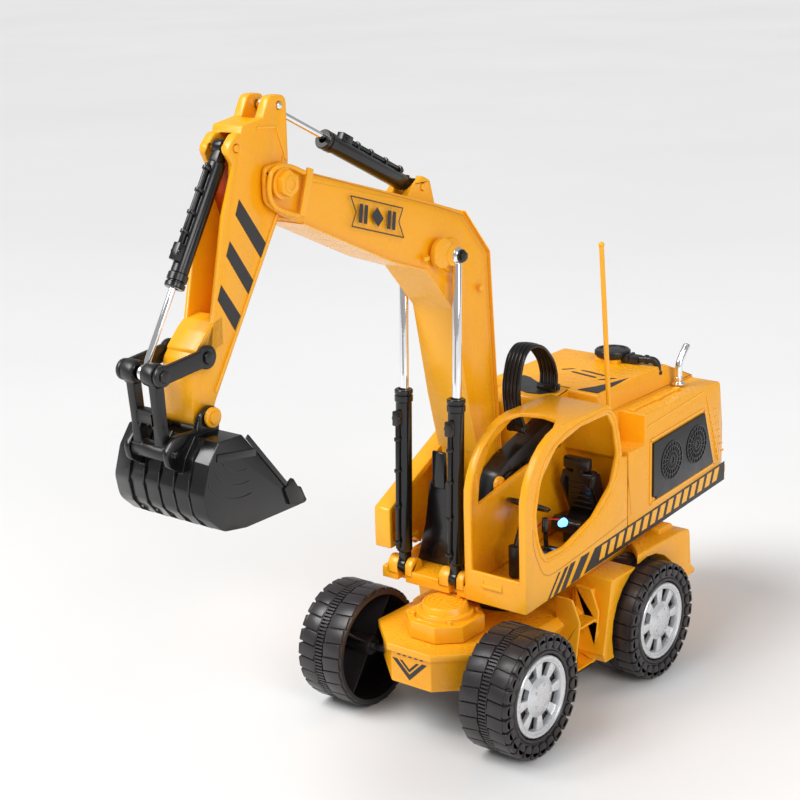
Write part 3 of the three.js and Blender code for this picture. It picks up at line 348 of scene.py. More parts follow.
# ---- structure that keeps the frame's shape ----
structure = [  # node, body, slot, finish, edge rounding, sharp angle
    ("chassis_shell", "chassis", "yellow_plastic", "grainedYellow", 0.7, 38),
    ("bottom_pan", "chassis", "black_plastic", "satinBlack", 0.3, 38),
    ("battery_door", "chassis", "black_plastic", "satinBlack", 0.3, 38),
    ("front_gearbox_cap", "chassis", "yellow_plastic", "yellow", 0.5, 38),
    ("slew_ring", "chassis", "black_plastic", "satinBlack", 0.3, 38),
    ("turntable_deck", "upper", "yellow_plastic", "grainedYellow", 0.5, 38),
    ("cab_shell", "upper", "yellow_plastic", "yellow", 0.7, 38),
    ("engine_cover", "upper", "yellow_plastic", "grainedYellow", 0.5, 34),
    ("side_grille", "upper", "black_plastic", "satinBlack", 0.3, 38),
    ("right_side_box", "upper", "yellow_plastic", "yellow", 0.7, 38),
    ("control_console", "upper", "black_plastic", "black", 0.5, 38),
    ("steering_column", "upper", "black_plastic", "satinBlack", 0.2, 38),
    ("deck_guard", "upper", "black_plastic", "black", 0.4, 38),
    ("boom_bracket", "upper", "black_plastic", "satinBlack", 0.35, 38),
    ("boom_pin", "upper", "yellow_plastic", "yellow", 0.4, 38),
    ("boom_half_left", "boom", "yellow_plastic", "yellow", 0.7, 38),
    ("boom_half_right", "boom", "yellow_plastic", "yellow", 0.7, 38),
    ("arm_cylinder_pin", "boom", "yellow_plastic", "yellow", 0.3, 38),
    ("arm", "arm", "yellow_plastic", "yellow", 0.6, 38),
    ("rod_eye_pin", "arm", "chrome_rod", "chrome", 0.3, 38),
    ("bucket_cylinder_pin", "arm", "yellow_plastic", "yellow", 0.3, 38),
    ("rocker_pin", "arm", "black_plastic", "satinBlack", 0.3, 38),
    ("bucket", "bucket", "black_plastic", "black", 0.5, 38),
    ("bucket_pin", "bucket", "yellow_plastic", "yellow", 0.4, 38),
    ("h_link", "h_link", "black_plastic", "satinBlack", 0.6, 38),
    ("rocker", "rocker", "black_plastic", "satinBlack", 0.6, 38),
]
for node, body, slot, finish, width, sharp in structure:
    words = node.split("_")
    halves = {"seam": boomX, "tip": {"y": -154, "offset": 4}} if "boom_half" in node else {}
    title = words[0] + "".join(word.title() for word in words[1:])
    softened(node, title, paint[finish], body, slot, width, sharp, **halves)
carried = {"battery_pack": "sleeve", "front_axle": "steel", "rear_axle": "steel", "drive_motor": "steel",
           "axle_gear": "satinBlack", "motor_pinion": "brass", "slew_motor": "steel",
           "circuit_board": "board"}
for node, finish in carried.items():
    data = frame["nodes"][node].data
    data.materials.clear()
    data.materials.append(paint[finish])
print("structure softened")

# ---- wheels ----
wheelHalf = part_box("tyre_front_left")[1].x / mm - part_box("tyre_front_left")[0].x / mm
wheelHalf = wheelHalf / 2
tyreValues = {"lugs": 26, "ribs": 104, "carcass": 31.7, "lugTop": 32.7, "bead": 22.2, "webs": 4, "band": 2.5,
              "skew": 6}
hubValues = {"spokes": 8, "rim": 21.4, "window": 17.6, "dome": 10.8}


def turnedTo(angle):
    return Matrix.Rotation(angle, 4, "Z")


def tyreShape(values):
    h = wheelHalf
    base, top = values["carcass"], values["lugTop"]
    band = values["band"]
    bm = turned([(-h, 29), (-h, base - 0.8), (-h + 0.8, base), (-band, base), (-band, base - 0.9),
                 (band, base - 0.9), (band, base), (h - 3.6, base), (h - 1.8, base - 0.8),
                 (h - 1.1, base - 2.4), (h - 1.1, 24.4), (h - 0.5, 23.8), (h - 0.5, 22.8),
                 (h - 1.2, values["bead"]),
                 (h - 5, values["bead"]), (h - 5, 5), (h - 8, 5), (h - 8, 29), (-h, 29)], 96)
    for i in range(values["lugs"]):
        pitch = 2 * math.pi / values["lugs"]
        half = 33 * math.pi / values["lugs"] - 0.45
        inner = block((base - 1, -half, -h + 0.5), (top, half, -2.9), 0.35)
        outer = block((base - 1, -half, 2.9), (top, half, h - 2.2), 0.35)
        for lug, share, turn in ((inner, 0, values["skew"]), (outer, 0.5, -values["skew"])):
            middle = Matrix.Translation((0, 0, math.copysign(h / 2 + 0.4, -turn) * mm))
            skewed = middle @ Matrix.Rotation(math.radians(turn), 4, "X") @ middle.inverted()
            add(bm, lug, turnedTo(pitch * (i + share)) @ skewed)
        shoulder = block((28.2, -half * 0.9, h - 3.4), (top - 0.3, half * 0.9, h - 0.1), 0.8)
        add(bm, shoulder, turnedTo(pitch * (i + 0.5)))
        knuckle = drum(h - 3, h - 0.1, half * 0.9, 0.5, 16)
        add(bm, knuckle, turnedTo(pitch * (i + 0.5)) @ Matrix.Translation((28.3 * mm, 0, 0)))
    for i in range(values["ribs"]):
        rib = block((base - 1.2, -0.5, -2.2), (top - 0.1, 0.5, 2.2), 0)
        add(bm, rib, turnedTo(2 * math.pi * i / values["ribs"]))
    add(bm, ring(2.3, 2.8, base - 0.5, top + 0.1, 0.15, 96))
    for i in range(values["webs"]):
        add(bm, block((5, -0.5, -h + 5), (29.3, 0.5, h - 7.5), 0.2),
            turnedTo(math.pi * 2 * (i + 0.4) / values["webs"]))
    add(bm, ring(-h + 4, h - 7.5, 2.6, 5.4))
    return bm


def hubShape(values):
    h = wheelHalf
    rim, window, dome = values["rim"], values["window"], values["dome"]
    bm = turned([(h - 4.7, rim), (h - 1.0, rim), (h - 0.5, rim - 0.4), (h - 0.5, rim - 1.7),
                 (h - 0.9, rim - 2.1),
                 (h - 1.2, rim - 3.2), (h - 2.6, window), (h - 4.7, window), (h - 4.7, rim)], 64)
    for i in range(values["spokes"]):
        spoke = plate([(dome - 2, -1.6), (window + 0.8, -3.2), (window + 0.8, 3.2), (dome - 2, 1.6)], 2.6,
                      0.5)
        add(bm, spoke, turnedTo(2 * math.pi * i / values["spokes"]) @ Matrix.Translation((0, 0,
            (h - 4.6) * mm)))
    add(bm, turned([(h - 4.7, 0), (h - 4.7, dome), (h - 2.1, dome), (h - 1.7, dome - 0.5),
                    (h - 1.5, dome - 1.8),
                    (h - 0.9, dome - 2.4), (h - 0.4, dome - 4), (h - 0.1, dome - 7), (h - 0.1, 0)], 48))
    for i in range(5):
        stud = drum(h - 1, h + 0.25, 0.9, 0.3, 12)
        add(bm, stud, turnedTo(2 * math.pi * i / 5) @ Matrix.Translation((6.3 * mm, 0, 0)))
    for i in range(24):
        add(bm, drum(h - 1, h - 0.2, 0.45, 0.15, 8),
            turnedTo(2 * math.pi * i / 24) @ Matrix.Translation(((rim - 1.0) * mm, 0, 0)))
    return bm


for label, side, body, hinge in (("front_left", 1, "front_left_wheel", "front_left_wheel_hinge"),
                                 ("front_right", -1, "front_right_wheel", "front_right_wheel_hinge"),
                                 ("rear_left", 1, "rear_wheelset", "rear_axle_hinge"),
                                 ("rear_right", -1, "rear_wheelset", "rear_axle_hinge")):
    _, axleY, axleZ = pinOf(hinge)
    place = placed(side * (wheelFace - wheelHalf), axleY, axleZ)
    place = place @ Matrix.Rotation(0 if side > 0 else math.pi, 4, "Z") @ along
    title = "".join(word.title() for word in label.split("_"))
    tread, hub = bmesh.new(), bmesh.new()
    add(tread, tyreShape(tyreValues), place)
    add(hub, hubShape(hubValues), place)
    makePiece("tyre" + title, tread, paint["tyre"], body, ("tyre_" + label,), 30)
    makePiece("hub" + title, hub, paint["silver"], body, ("hub_" + label,))
print("wheels made")

# ---- cylinders ----
cylinders = {
    "liftLeft": {"foot": "lift_barrel_left_hinge", "eye": "lift_rod_left_hinge", "length": 98, "outer": 4.3,
                 "neck": 8, "knuckle": 4.2, "knuckleHalf": 2.2, "shift": -0.56, "collar": 4.9, "pipeSide": -1,
                 "rod": 2.4, "rodFrom": 36, "eyeRadius": 4.6, "eyeHalf": 2.4},
    "arm": {"foot": "arm_barrel_hinge", "eye": "arm_rod_hinge", "length": 72, "outer": 4.2, "neck": 6.5,
            "knuckle": 3.8, "knuckleHalf": 2.4, "shift": -0.83, "collar": 4.8, "pipeSide": 1, "rod": 1.6,
            "rodFrom": 24, "eyeRadius": 3.6, "eyeHalf": 2.6},
    "bucket": {"foot": "bucket_barrel_hinge", "eye": "bucket_rod_hinge", "length": 66, "outer": 4,
               "neck": 6.5,
               "knuckle": 3.8, "knuckleHalf": 2.6, "shift": -0.67, "collar": 4.6, "pipeSide": 1, "rod": 1.5,
               "rodFrom": 30, "eyeRadius": 3.6, "eyeHalf": 2},
}
cylinders["liftRight"] = {**cylinders["liftLeft"], "foot": "lift_barrel_right_hinge",
                          "eye": "lift_rod_right_hinge"}
cylinderNodes = {"liftLeft": ("lift_barrel_left", "lift_rod_left"), "arm": ("arm_barrel", "arm_rod"),
                 "liftRight": ("lift_barrel_right", "lift_rod_right"),
                 "bucket": ("bucket_barrel", "bucket_rod")}


def barrelShape(values):
    length, outer, neck, shift = values["length"], values["outer"], values["neck"], values["shift"]
    side, bore = values["pipeSide"], values["rod"] + 0.55
    offset = Matrix.Translation((0, shift * mm, 0))
    bm = bmesh.new()
    add(bm, turned([(neck, 0), (neck, outer * 0.7), (neck + 1, outer * 0.95), (neck + 1.6, outer),
                    (length - 7, outer),
                    (length - 6.4, values["collar"]), (length - 3.4, values["collar"]), (length - 3, outer),
                    (length - 2.6, outer), (length - 2.2, values["collar"]), (length - 0.5, values["collar"]),
                    (length, values["collar"] - 0.5), (length, bore), (length - 14, bore), (length - 14, 0)],
                    40), offset)
    half, knuckle = values["knuckleHalf"], values["knuckle"]
    add(bm, ring(-half, half, 1.9, knuckle, 0.4, 32), along)
    add(bm, block((-half, -knuckle * 0.72, 2), (half, knuckle * 0.72, neck + 2.4), 0.6))
    pipeY = shift + side * (outer + 1.1)
    pipe = Matrix.Translation((0, pipeY * mm, 0))
    add(bm, drum(neck + 3, length - 15, 1.2, 0.4, 16), pipe)
    for share in (0.04, 0.35, 0.66, 0.93):
        z = neck + 4 + share * (length - 26 - neck)
        add(bm, ring(z - 0.9, z + 0.9, 1.0, 1.9, 0.3, 20), pipe)
        knob = Matrix.Translation((0, (shift + side * (outer + 0.6)) * mm, z * mm))
        add(bm, block((-1.7, -1.5, -0.8), (1.7, 1.5, 0.8), 0.4), knob)
    low, high = sorted((shift, shift + side * (outer + 3.2)))
    add(bm, block((-2, low, length - 19), (2, high, length - 11), 0.5))
    add(bm, ring(-2.5, 2.5, 0.4, 1.3, 0.2, 16),
        Matrix.Translation((0, (shift + side * (outer + 1.6)) * mm, (length - 15) * mm)) @ along)
    return bm


def rodShape(values, reach):
    bm = drum(values["rodFrom"], reach - values["eyeRadius"] + 0.8, values["rod"], 0.2, 32)
    half, outer = values["eyeHalf"], values["eyeRadius"]
    add(bm, turned([(-half, 1.9), (-half, outer - 1.2), (-half * 0.7, outer - 0.4), (0, outer),
                    (half * 0.7, outer - 0.4),
                    (half, outer - 1.2), (half, 1.9), (-half, 1.9)], 40),
                    Matrix.Translation((0, 0, reach * mm)) @ along)
    return bm


for title, values in cylinders.items():
    footX, footY, footZ = pinOf(values["foot"])
    _, eyeY, eyeZ = pinOf(values["eye"])
    reach = math.hypot(eyeY - footY, eyeZ - footZ)
    tilt = math.atan2(footY - eyeY, eyeZ - footZ)
    place = placed(footX, footY, footZ) @ Matrix.Rotation(tilt, 4, "X")
    barrelNode, rodNode = cylinderNodes[title]
    barrel, rod = bmesh.new(), bmesh.new()
    add(barrel, barrelShape(values), place)
    add(rod, rodShape(values, reach), place)
    makePiece(title + "Barrel", barrel, paint["black"], barrelNode, (barrelNode,))
    makePiece(title + "Rod", rod, paint["chrome"], rodNode, (rodNode,))

for label, side in (("left", 1), ("right", -1)):  # black screws that hold the lift rods' eyes
    x, y, z = pinOf(f"lift_rod_{label}_hinge")
    bm = bmesh.new()
    outward = Matrix.Scale(side, 4, (0, 0, 1))
    add(bm, drum(-6, 2.9, 1.7, 0.2), placed(x, y, z) @ along @ outward)
    add(bm, drum(2.5, 3.5, 3.5, 0.4), placed(x, y, z) @ along @ outward)
    add(bm, hexHead(3.3, 5.2, 2.7), placed(x, y, z) @ along @ outward)
    bmesh.ops.recalc_face_normals(bm, faces=bm.faces)
    makePiece(f"liftEyeBolt{label.title()}", bm, paint["satinBlack"], "boom",
              (f"lift_eye_bolt_{label}",))
print("cylinders made")

# ---- boom ----
boomSides = ((1, boomNear), (-1, 2 * boomX - boomNear))
_, armPivotY, armPivotZ = pinOf("arm_hinge")
_, liftEyeY, liftEyeZ = pinOf("lift_rod_left_hinge")
boomLines = {"top": [(-142, 303), (-52.4, 274.2), (-30.3, 266), (-10.4, 243.4), (-6.4, 174), (-3, 128)],
             "panel": [(-147.9, 305), (-152.6, 290.6)]}
boomTrim = {"strap": [(-153.4, 286.4), (-149.6, 284.8), (-142.6, 305.6), (-146.4, 307)],
            "rim": [(-148, 304.8), (-158.9, 309.2), (-164.8, 309.7), (-169, 308.2), (-170.9, 305),
                    (-171, 296.4),
                    (-169.4, 293.6), (-165, 290.6), (-160.8, 288.8), (-153.4, 286)],
            "belly": [(-149, 281.5), (-87.1, 252.7), (-60.2, 243.1), (-38.5, 218.8), (-28.2, 168.7),
                      (-20, 137)],
            "back": [(-27.3, 267.7), (-6.8, 243.5), (-2.5, 174), (0.9, 130)]}
bm = bmesh.new()
lines = bmesh.new()
for side, face in boomSides:
    outward = along @ Matrix.Scale(side, 4, (0, 0, 1))
    # the boom's groove lines: thin strips in the painted shade colour, standing for the shade inside the
    # grooves
    for path in boomLines.values():
        for quad in strip(path, 0.5):
            add(lines, plate(quad, 0.05), placed(face, 0, 0) @ outward)
    add(bm, plate(boomTrim["strap"], 1.5, 0.4), placed(face - side * 0.2, 0, 0) @ outward)
    ridge = wire([(face + side * 0.1, y, z) for y, z in boomTrim["rim"]], 1.15)
    add(bm, ridge)
    add(bm, drum(-0.2, 3.2, 7.6, 0.7), placed(face, -50.5, 250.4) @ outward)
    add(bm, drum(-0.2, 3.6, 5.6, 0.6), placed(face, liftEyeY - 3, liftEyeZ + 0.8) @ outward)
    add(bm, block((-0.2, -2.2, -1.2), (1.4, 2.2, 1.2), 0.4), placed(face, -62, 249.6) @ Matrix.Scale(side, 4,
        (1, 0, 0)))
    add(bm, drum(-0.3, 1.0, 1.6, 0.3), placed(face, -39, 234) @ outward)
    add(bm, drum(-0.3, 1.0, 2.0, 0.3), placed(face, -16.5, 226) @ outward)
for path in (boomTrim["belly"], boomTrim["back"]):
    for quad in strip(path, 0.7):
        add(bm, plate(quad, boomNear * 2 - boomX * 2 - 1.6), placed(2 * boomX - boomNear + 0.8, 0, 0) @ along)
bmesh.ops.recalc_face_normals(bm, faces=bm.faces)
bmesh.ops.recalc_face_normals(lines, faces=lines.faces)
makePiece("boomTrim", bm, paint["yellow"], "boom")
makePiece("boomLines", lines, paint["grooveShade"], "boom")

bm = bmesh.new()
for side, face in boomSides:
    outward = along @ Matrix.Scale(side, 4, (0, 0, 1))
    if side > 0:
        add(bm, drum(-0.4, 1.4, 7.2, 0.4), placed(face, armPivotY, armPivotZ) @ outward)
        add(bm, hexHead(1.0, 5.0, 6.0), placed(face, armPivotY, armPivotZ) @ outward)
        add(bm, ring(4.7, 5.4, 2.6, 3.8, 0.2), placed(face, armPivotY, armPivotZ) @ outward)
    else:
        add(bm, drum(-0.4, 1.6, 5.0, 0.4), placed(face, armPivotY, armPivotZ) @ outward)
    shaft = abs(boomNear - boomX)
    add(bm, drum(-shaft, 0, 3, 0.3), placed(face, armPivotY, armPivotZ) @ outward)
bmesh.ops.recalc_face_normals(bm, faces=bm.faces)
makePiece("armPivotBolt", bm, paint["yellow"], "boom", ("arm_pivot_bolt",))


badge = {"slope": -0.3, "middle": (-97.5, 276.2),  # slanted bars and a diamond in a thin frame
         "frame": [(-20, 7.2), (20, 7.2), (16.4, 0), (20, -7.2), (-20, -7.2), (-16.4, 0), (-20, 7.2)],
         "bars": (-14.6, -10.8, 7, 10.8), "diamond": [(-4.6, 0), (0, 4.8), (4.6, 0), (0, -4.8)]}


def onBadge(points):
    y, z = badge["middle"]
    return [(y + 0.957 * a, z + badge["slope"] * a + b) for a, b in points]


shapes = strip(onBadge(badge["frame"]), 0.6) + [onBadge(badge["diamond"])]
shapes += [onBadge([(a, -4.6), (a + 2.4, -4.6), (a + 3.8, 4.6), (a + 1.4, 4.6)]) for a in badge["bars"]]
bm = bmesh.new()
for side, face in boomSides:
    for shape in shapes:
        add(bm, plate(shape, 0.14), placed(face if side > 0 else face - 0.14, 0, 0) @ along)
makePiece("boomBadge", bm, paint["decal"], "boom")
print("boom dressed")

# ---- arm ----
armHalf = (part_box("arm")[1].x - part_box("arm")[0].x) / 2 / mm
armStripes = [[(-185.7, 298.1), (-170.1, 275.7), (-174, 269.7), (-188.5, 291.6)],
              [(-192.9, 280.8), (-179.6, 260.7), (-183.3, 255.2), (-195.7, 274.7)],
              [(-199.9, 262.6), (-188.9, 246.5), (-192.9, 240.4), (-202.6, 256.3)]]
armBorder = [(-156.2, 313), (-160.8, 290), (-195.4, 234.6), (-207.4, 216)]
bm = bmesh.new()
trim = bmesh.new()
for side in (1, -1):
    face = boomX + side * armHalf
    for stripe in armStripes:
        add(bm, plate(stripe, 0.14), placed(face if side > 0 else face - 0.14, 0, 0) @ along)
    for quad in strip(armBorder, 1.2) + strip([(-172.6, 327.6), (-159.8, 326.4), (-154.4, 311)], 0.9):
        add(trim, plate(quad, 0.6), placed(face - 0.1 if side > 0 else face - 0.5, 0, 0) @ along)
hood = [(-200, 249), (-206, 247.4), (-211, 243.6), (-217.8, 236.6), (-217.8, 233.4), (-212, 232), (-200, 236)]
add(trim, plate(hood, 2 * armHalf, 0.6), placed(boomX - armHalf, 0, 0) @ along)
makePiece("armStripes", bm, paint["decal"], "arm")
makePiece("armTrim", trim, paint["yellow"], "arm")
bm = bmesh.new()
add(bm, plate([(-186, 300), (-177.2, 324.8), (-174, 324.8), (-172, 300), (-180, 282)], 2 * armHalf - 4.2,
              0.3),
    placed(boomX - armHalf + 2.1, 0, 0) @ along)
makePiece("armInsideWall", bm, paint["redInside"], "arm")
print("arm dressed")

# ---- bucket and links ----
bucketRibs = {"outline": [(-226, 201.0), (-231, 195.4), (-235.6, 185), (-237.0, 177.6), (-235.2, 168.6),
                          (-230.4, 162.8),
                          (-224, 159.3), (-213, 157.3), (-196, 157.2)],
              "at": (-18.6, -9.3, 0, 9.3, 18.6), "width": 0.7}
bm = bmesh.new()
for x in bucketRibs["at"]:
    for quad in strip(bucketRibs["outline"], 0.9):
        add(bm, plate(quad, bucketRibs["width"]), placed(boomX + x - bucketRibs["width"] / 2, 0, 0) @ along)
for side in (1, -1):
    face = boomX + side * 28
    base = face - 0.1 if side > 0 else face - 0.7
    for quad in strip([(-228, 194), (-204, 190.4)], 3.4) + strip([(-209, 199), (-180, 163.4)], 2.2):
        add(bm, plate(quad, 0.8, 0.2), placed(base, 0, 0) @ along)
    for radius in (15, 21, 27):
        arc = [(-212 + radius * math.cos(t), 199 + radius * math.sin(t)) for t in
               [math.radians(216 + 7 * k) for k in range(10)]]
        for quad in strip(arc, 0.5):
            add(bm, plate(quad, 0.35), placed(face - 0.05 if side > 0 else face - 0.3, 0, 0) @ along)
    add(bm, plate([(-187.5, 168.6), (-181.4, 172), (-177.6, 166), (-173.6, 160.4), (-176, 158.2),
                   (-184, 160)], 2.2, 0.4),
        placed(face - 1 if side > 0 else face - 1.2, 0, 0) @ along)
makePiece("bucketRibs", bm, paint["black"], "bucket")

linkBolts = {"radius": 3.0, "height": 1.2}
for name, body, pins in (("rockerBolts", "rocker", ("rocker_hinge", "bucket_rod_hinge")),):
    bm = bmesh.new()
    for pin in pins:
        x, y, z = pinOf(pin)
        for side in (1, -1):
            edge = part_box("rocker")[1].x / mm if side > 0 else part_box("rocker")[0].x / mm
            add(bm, hexHead(-0.3, linkBolts["height"], linkBolts["radius"]),
                placed(edge, y, z) @ along @ Matrix.Scale(side, 4, (0, 0, 1)))
    bmesh.ops.recalc_face_normals(bm, faces=bm.faces)
    makePiece(name, bm, paint["satinBlack"], body)
bm = bmesh.new()
_, y, z = pinOf("bucket_hinge")
for side in (1, -1):
    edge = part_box("bucket_pin")[1].x / mm if side > 0 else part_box("bucket_pin")[0].x / mm
    add(bm, drum(-0.4, 1.0, 3.0, 0.35), placed(edge, y, z) @ along @ Matrix.Scale(side, 4, (0, 0, 1)))
bmesh.ops.recalc_face_normals(bm, faces=bm.faces)
makePiece("bucketPinCaps", bm, paint["yellow"], "bucket")
_, linkFootY, linkFootZ = pinOf("h_link_hinge")
_, crossY, crossZ = pinOf("bucket_rod_hinge")
linkTilt = math.atan2(linkFootY - crossY, crossZ - linkFootZ)
linkWeb = [(-6, 19.4), (-4.4, 18.6), (4.4, 18.6), (6, 19.4), (6, 5), (4.9, 5), (4.5, 9.5), (2.8, 12.8),
           (0, 14.2),
           (-2.8, 12.8), (-4.5, 9.5), (-4.9, 5), (-6, 5)]
bm = bmesh.new()
add(bm, plate(linkWeb, 4.6, 0.4), placed(boomX, linkFootY, linkFootZ) @ Matrix.Rotation(linkTilt, 4, "X")
    @ Matrix.Translation((0, 2.3 * mm, 0)) @ facing)
makePiece("linkWeb", bm, paint["satinBlack"], "h_link")
print("bucket dressed")

# ---- cab ----
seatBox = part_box("seat")
seatX = (seatBox[0].x + seatBox[1].x) / 2 / mm
seatValues = {"back": [(41, 89), (32, 92), (25.4, 118), (28.6, 121), (31.6, 120), (39.6, 97)], "half": 9.6,
              "cushion": [(14, 87.5), (13.6, 94.2), (17, 96.2), (34, 94.6), (38, 90), (38, 86.5)]}
bm = bmesh.new()
for corners, half, rounding in ((seatValues["cushion"], 9.8, 1.4),
                                (seatValues["back"], seatValues["half"], 1.4)):
    add(bm, plate(corners, 2 * half, rounding), placed(seatX - half, 0, 0) @ along)
for side in (-1, 1):
    add(bm, plate([(34, 93), (24, 113), (27, 119), (32, 119), (39.4, 97)], 2.6, 0.9),
        placed(seatX + side * 9.4 - 1.3, 0, 0) @ along)
for z in (98, 101.6, 105.2, 108.8, 112.4):
    add(bm, block((-6.4, -0.6, -0.7), (6.4, 0.6, 0.7), 0.3), placed(seatX, 31.2 - (z - 96) * 0.27, z))
add(bm, block((-8.2, -2.7, -3.6), (8.2, 2.7, 3.6), 1.6), placed(seatX, 26, 124.6))
add(bm, block((-3, -1.6, -4), (3, 1.6, 3), 0.6), placed(seatX, 27.4, 120))
add(bm, block((-6, -8, -6), (6, 8, 3), 0.5), placed(seatX, 28, 86))
makePiece("seat", bm, paint["black"], "upper", ("seat",))

bm = bmesh.new()
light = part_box("cab_light")
lightX, lightZ = (light[0].x + light[1].x) / 2 / mm, (light[0].z + light[1].z) / 2 / mm
add(bm, turned([(0, 0), (0, 2.4), (0.8, 2.4), (0.8, 2.0), (3.2, 2.0), (4.2, 1.6), (4.8, 0.9), (5, 0)], 24),
    placed(lightX, (light[1].y - slewY) / mm + 0.3, lightZ) @ facing)
makePiece("cabLight", bm, lamp, "upper", ("cab_light",))

wheelX, wheelY, wheelZ = pinOf("steering_hinge")
wheelAxis = Vector(joints["steering_hinge"]["axis"])
wheelTurn = Vector((0, 0, 1)).rotation_difference(wheelAxis).to_matrix().to_4x4()
wheelValues = {"radius": 11, "rim": 1.15, "spokes": 3}
bm = bmesh.new()
rimProfile = [(wheelValues["rim"] * math.sin(t), wheelValues["radius"] + wheelValues["rim"] * math.cos(t))
              for t in [2 * math.pi * k / 12 for k in range(13)]]
add(bm, turned(rimProfile, 48))
for i in range(wheelValues["spokes"]):
    add(bm, block((0, -1.1, -0.5), (10.6, 1.1, 0.6), 0.3),
        turnedTo(2 * math.pi * i / wheelValues["spokes"] + math.pi / 2))
add(bm, turned([(0.5, 1.5), (-0.6, 1.5), (-1.2, 2.4), (-1.0, 3), (0.9, 3), (1.5, 2.3), (1.6, 0), (0.5, 0),
                (0.5, 1.5)], 24))
wheel = bmesh.new()
add(wheel, bm, placed(wheelX, wheelY, wheelZ) @ wheelTurn)
makePiece("steeringWheel", wheel, paint["black"], "steering_wheel", ("steering_wheel",))

bm = wire([(seatX - 4, 14, 95), (seatX - 7, 6, 96.5), (seatX - 8, -4, 93), (seatX - 5, -14, 88),
           (seatX - 3, -22, 80)],
          0.5)
makePiece("lampWire", bm, paint["redWire"], "upper")

doorLine = [(-44.4, 112), (-44.2, 104), (-42.4, 98), (-37.6, 88), (-34.7, 84.3), (-30, 82.4), (-24, 82.3),
            (-10, 83.9),
            (2, 85.2), (24, 88), (46.5, 91.2)]
seamLine = [(45.2, 124), (46.8, 112), (48.6, 100), (49.6, 91.6)]
# door and seam groove lines: thin strips in the painted shade colour, standing for the shade inside the
# grooves
bm = bmesh.new()
for quad in strip(doorLine, 0.45) + strip(seamLine, 0.45):
    add(bm, plate(quad, 0.06), placed(cabSide - 0.01, 0, 0) @ along)
makePiece("doorLines", bm, paint["grooveShade"], "upper")

bm = bmesh.new()
cabFront = (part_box("cab_shell")[0].y - slewY) / mm
add(bm, block((20.5, -0.9, 76.6), (33.5, 0.4, 78.8), 0.4), placed(0, cabFront, 0))
add(bm, block((20.5, -0.5, 78.6), (21.7, 0.4, 81), 0.3), placed(0, cabFront, 0))
add(bm, block((32.3, -0.5, 78.6), (33.5, 0.4, 81), 0.3), placed(0, cabFront, 0))
doorRim = [(-36.6, 95), (-40.8, 106), (-42.4, 119), (-40.5, 129), (-36.8, 138), (-30.5, 146.6),
           (-20.4, 152.4),
           (-6, 156.2), (10, 157), (26.4, 156.8), (31.6, 152.8), (34.2, 146), (37.6, 131), (36.8, 123),
           (32.6, 114),
           (24, 106.2), (13, 99.9), (0, 95.4), (-13, 91.8), (-26, 91), (-33, 91.8), (-36.6, 95)]
add(bm, wire([(cabSide - 0.3, y, z) for y, z in doorRim], 1.1))
makePiece("cabTrim", bm, paint["yellow"], "upper")
print("cab dressed")

# ---- lower stripe along the cab and the engine cover ----
stripe = {"band": [(2.5, 72.2), (13.4, 83.6), (153.6, 93.8), (153.6, 82.4)], "rail": 1.1}
bars = [[(-31.7, 69.2), (-29.8, 69.3), (-19.6, 81.2), (-21.4, 81.1)],
        [(-26.6, 69.4), (-23, 69.6), (-12, 82), (-15.4, 81.8)],
        [(-19.8, 69.9), (-15, 70.2), (-5.4, 82.6), (-10, 82.4)],
        [(-10.6, 70.8), (-2.2, 71.6), (8.2, 83.3), (-0.2, 82.9)]]
bm = bmesh.new()
for corners in [stripe["band"]] + bars:
    add(bm, plate(corners, 0.12), placed(cabSide, 0, 0) @ along)
makePiece("sideBand", bm, paint["decal"], "upper")
bm = bmesh.new()
slope = (93.8 - 83.6) / (153.6 - 13.4)
for i in range(15):  # plain slanted bars
    y = 17 + i * 8.7
    low = 74.6 + (y - 6) * slope
    tall = 7.4
    add(bm, plate([(y, low), (y + 5.4, low + 0.3), (y + 8.6, low + tall + 0.5), (y + 3.2, low + tall + 0.2)],
                  0.08),
        placed(cabSide + 0.1, 0, 0) @ along)
makePiece("sideTicks", bm, paint["yellow"], "upper")

# ---- engine cover ----
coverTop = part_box("engine_cover")[1].z / mm
vents = {"count": 7, "top": (134.8, 128.8), "bottom": (144.2, 101.4), "gap": 6.2, "size": (3.4, 1.2)}
bm = bmesh.new()
for i in range(vents["count"]):
    share = i / (vents["count"] - 1)
    y = vents["top"][0] + share * (vents["bottom"][0] - vents["top"][0])
    z = vents["top"][1] + share * (vents["bottom"][1] - vents["top"][1])
    for shift in (0, vents["gap"]):
        half, tall = vents["size"][0] / 2, vents["size"][1] / 2
        add(bm, block((-0.5, -half, -tall), (0.32, half, tall), 0.3), placed(cabSide, y + shift, z))
grilleFrame = [(69.2, 91.6), (69.2, 128.8), (128.4, 132.2), (140.2, 95.8), (69.2, 91.6)]
for quad in strip(grilleFrame, 1.4):
    add(bm, plate(quad, 0.7), placed(cabSide - 0.1, 0, 0) @ along)
for quad in strip([(131, 139), (133, 133), (146.5, 96.4)], 0.9) + strip([(66, 137.6), (127, 142.6)], 0.9):
    add(bm, plate(quad, 0.5), placed(cabSide - 0.1, 0, 0) @ along)
add(bm, wire([(38.4, 66.5, 145.4), (38.2, 84, 145.5), (37.8, 114, 145.4)], 0.9))
add(bm, block((-1.8, -4, 0), (1.8, 4, 2), 0.5), placed(38.1, 94, 144.6))
add(bm, block((-1.6, -2.2, 0), (1.6, 2.2, 2.4), 0.5), placed(37.9, 114, 144.6))
add(bm, block((-1.6, -2.2, 0), (1.6, 2.2, 1.8), 0.5), placed(38.4, 67, 144.6))
for i in range(13):  # dotted outlines on the raised top
    add(bm, drum(-0.2, 0.5, 0.55, 0.2, 10), placed(-27 + i * 3.6, 88.5 - i * 0.25, coverTop - 0.55))
    add(bm, drum(-0.2, 0.5, 0.55, 0.2, 10), placed(-24 + i * 3.6, 60 - i * 0.25, coverTop - 0.9))
add(bm, block((-7.5, -7.5, 0), (7.5, 7.5, 2.4), 0.5), placed(-2, 110, coverTop - 0.3))
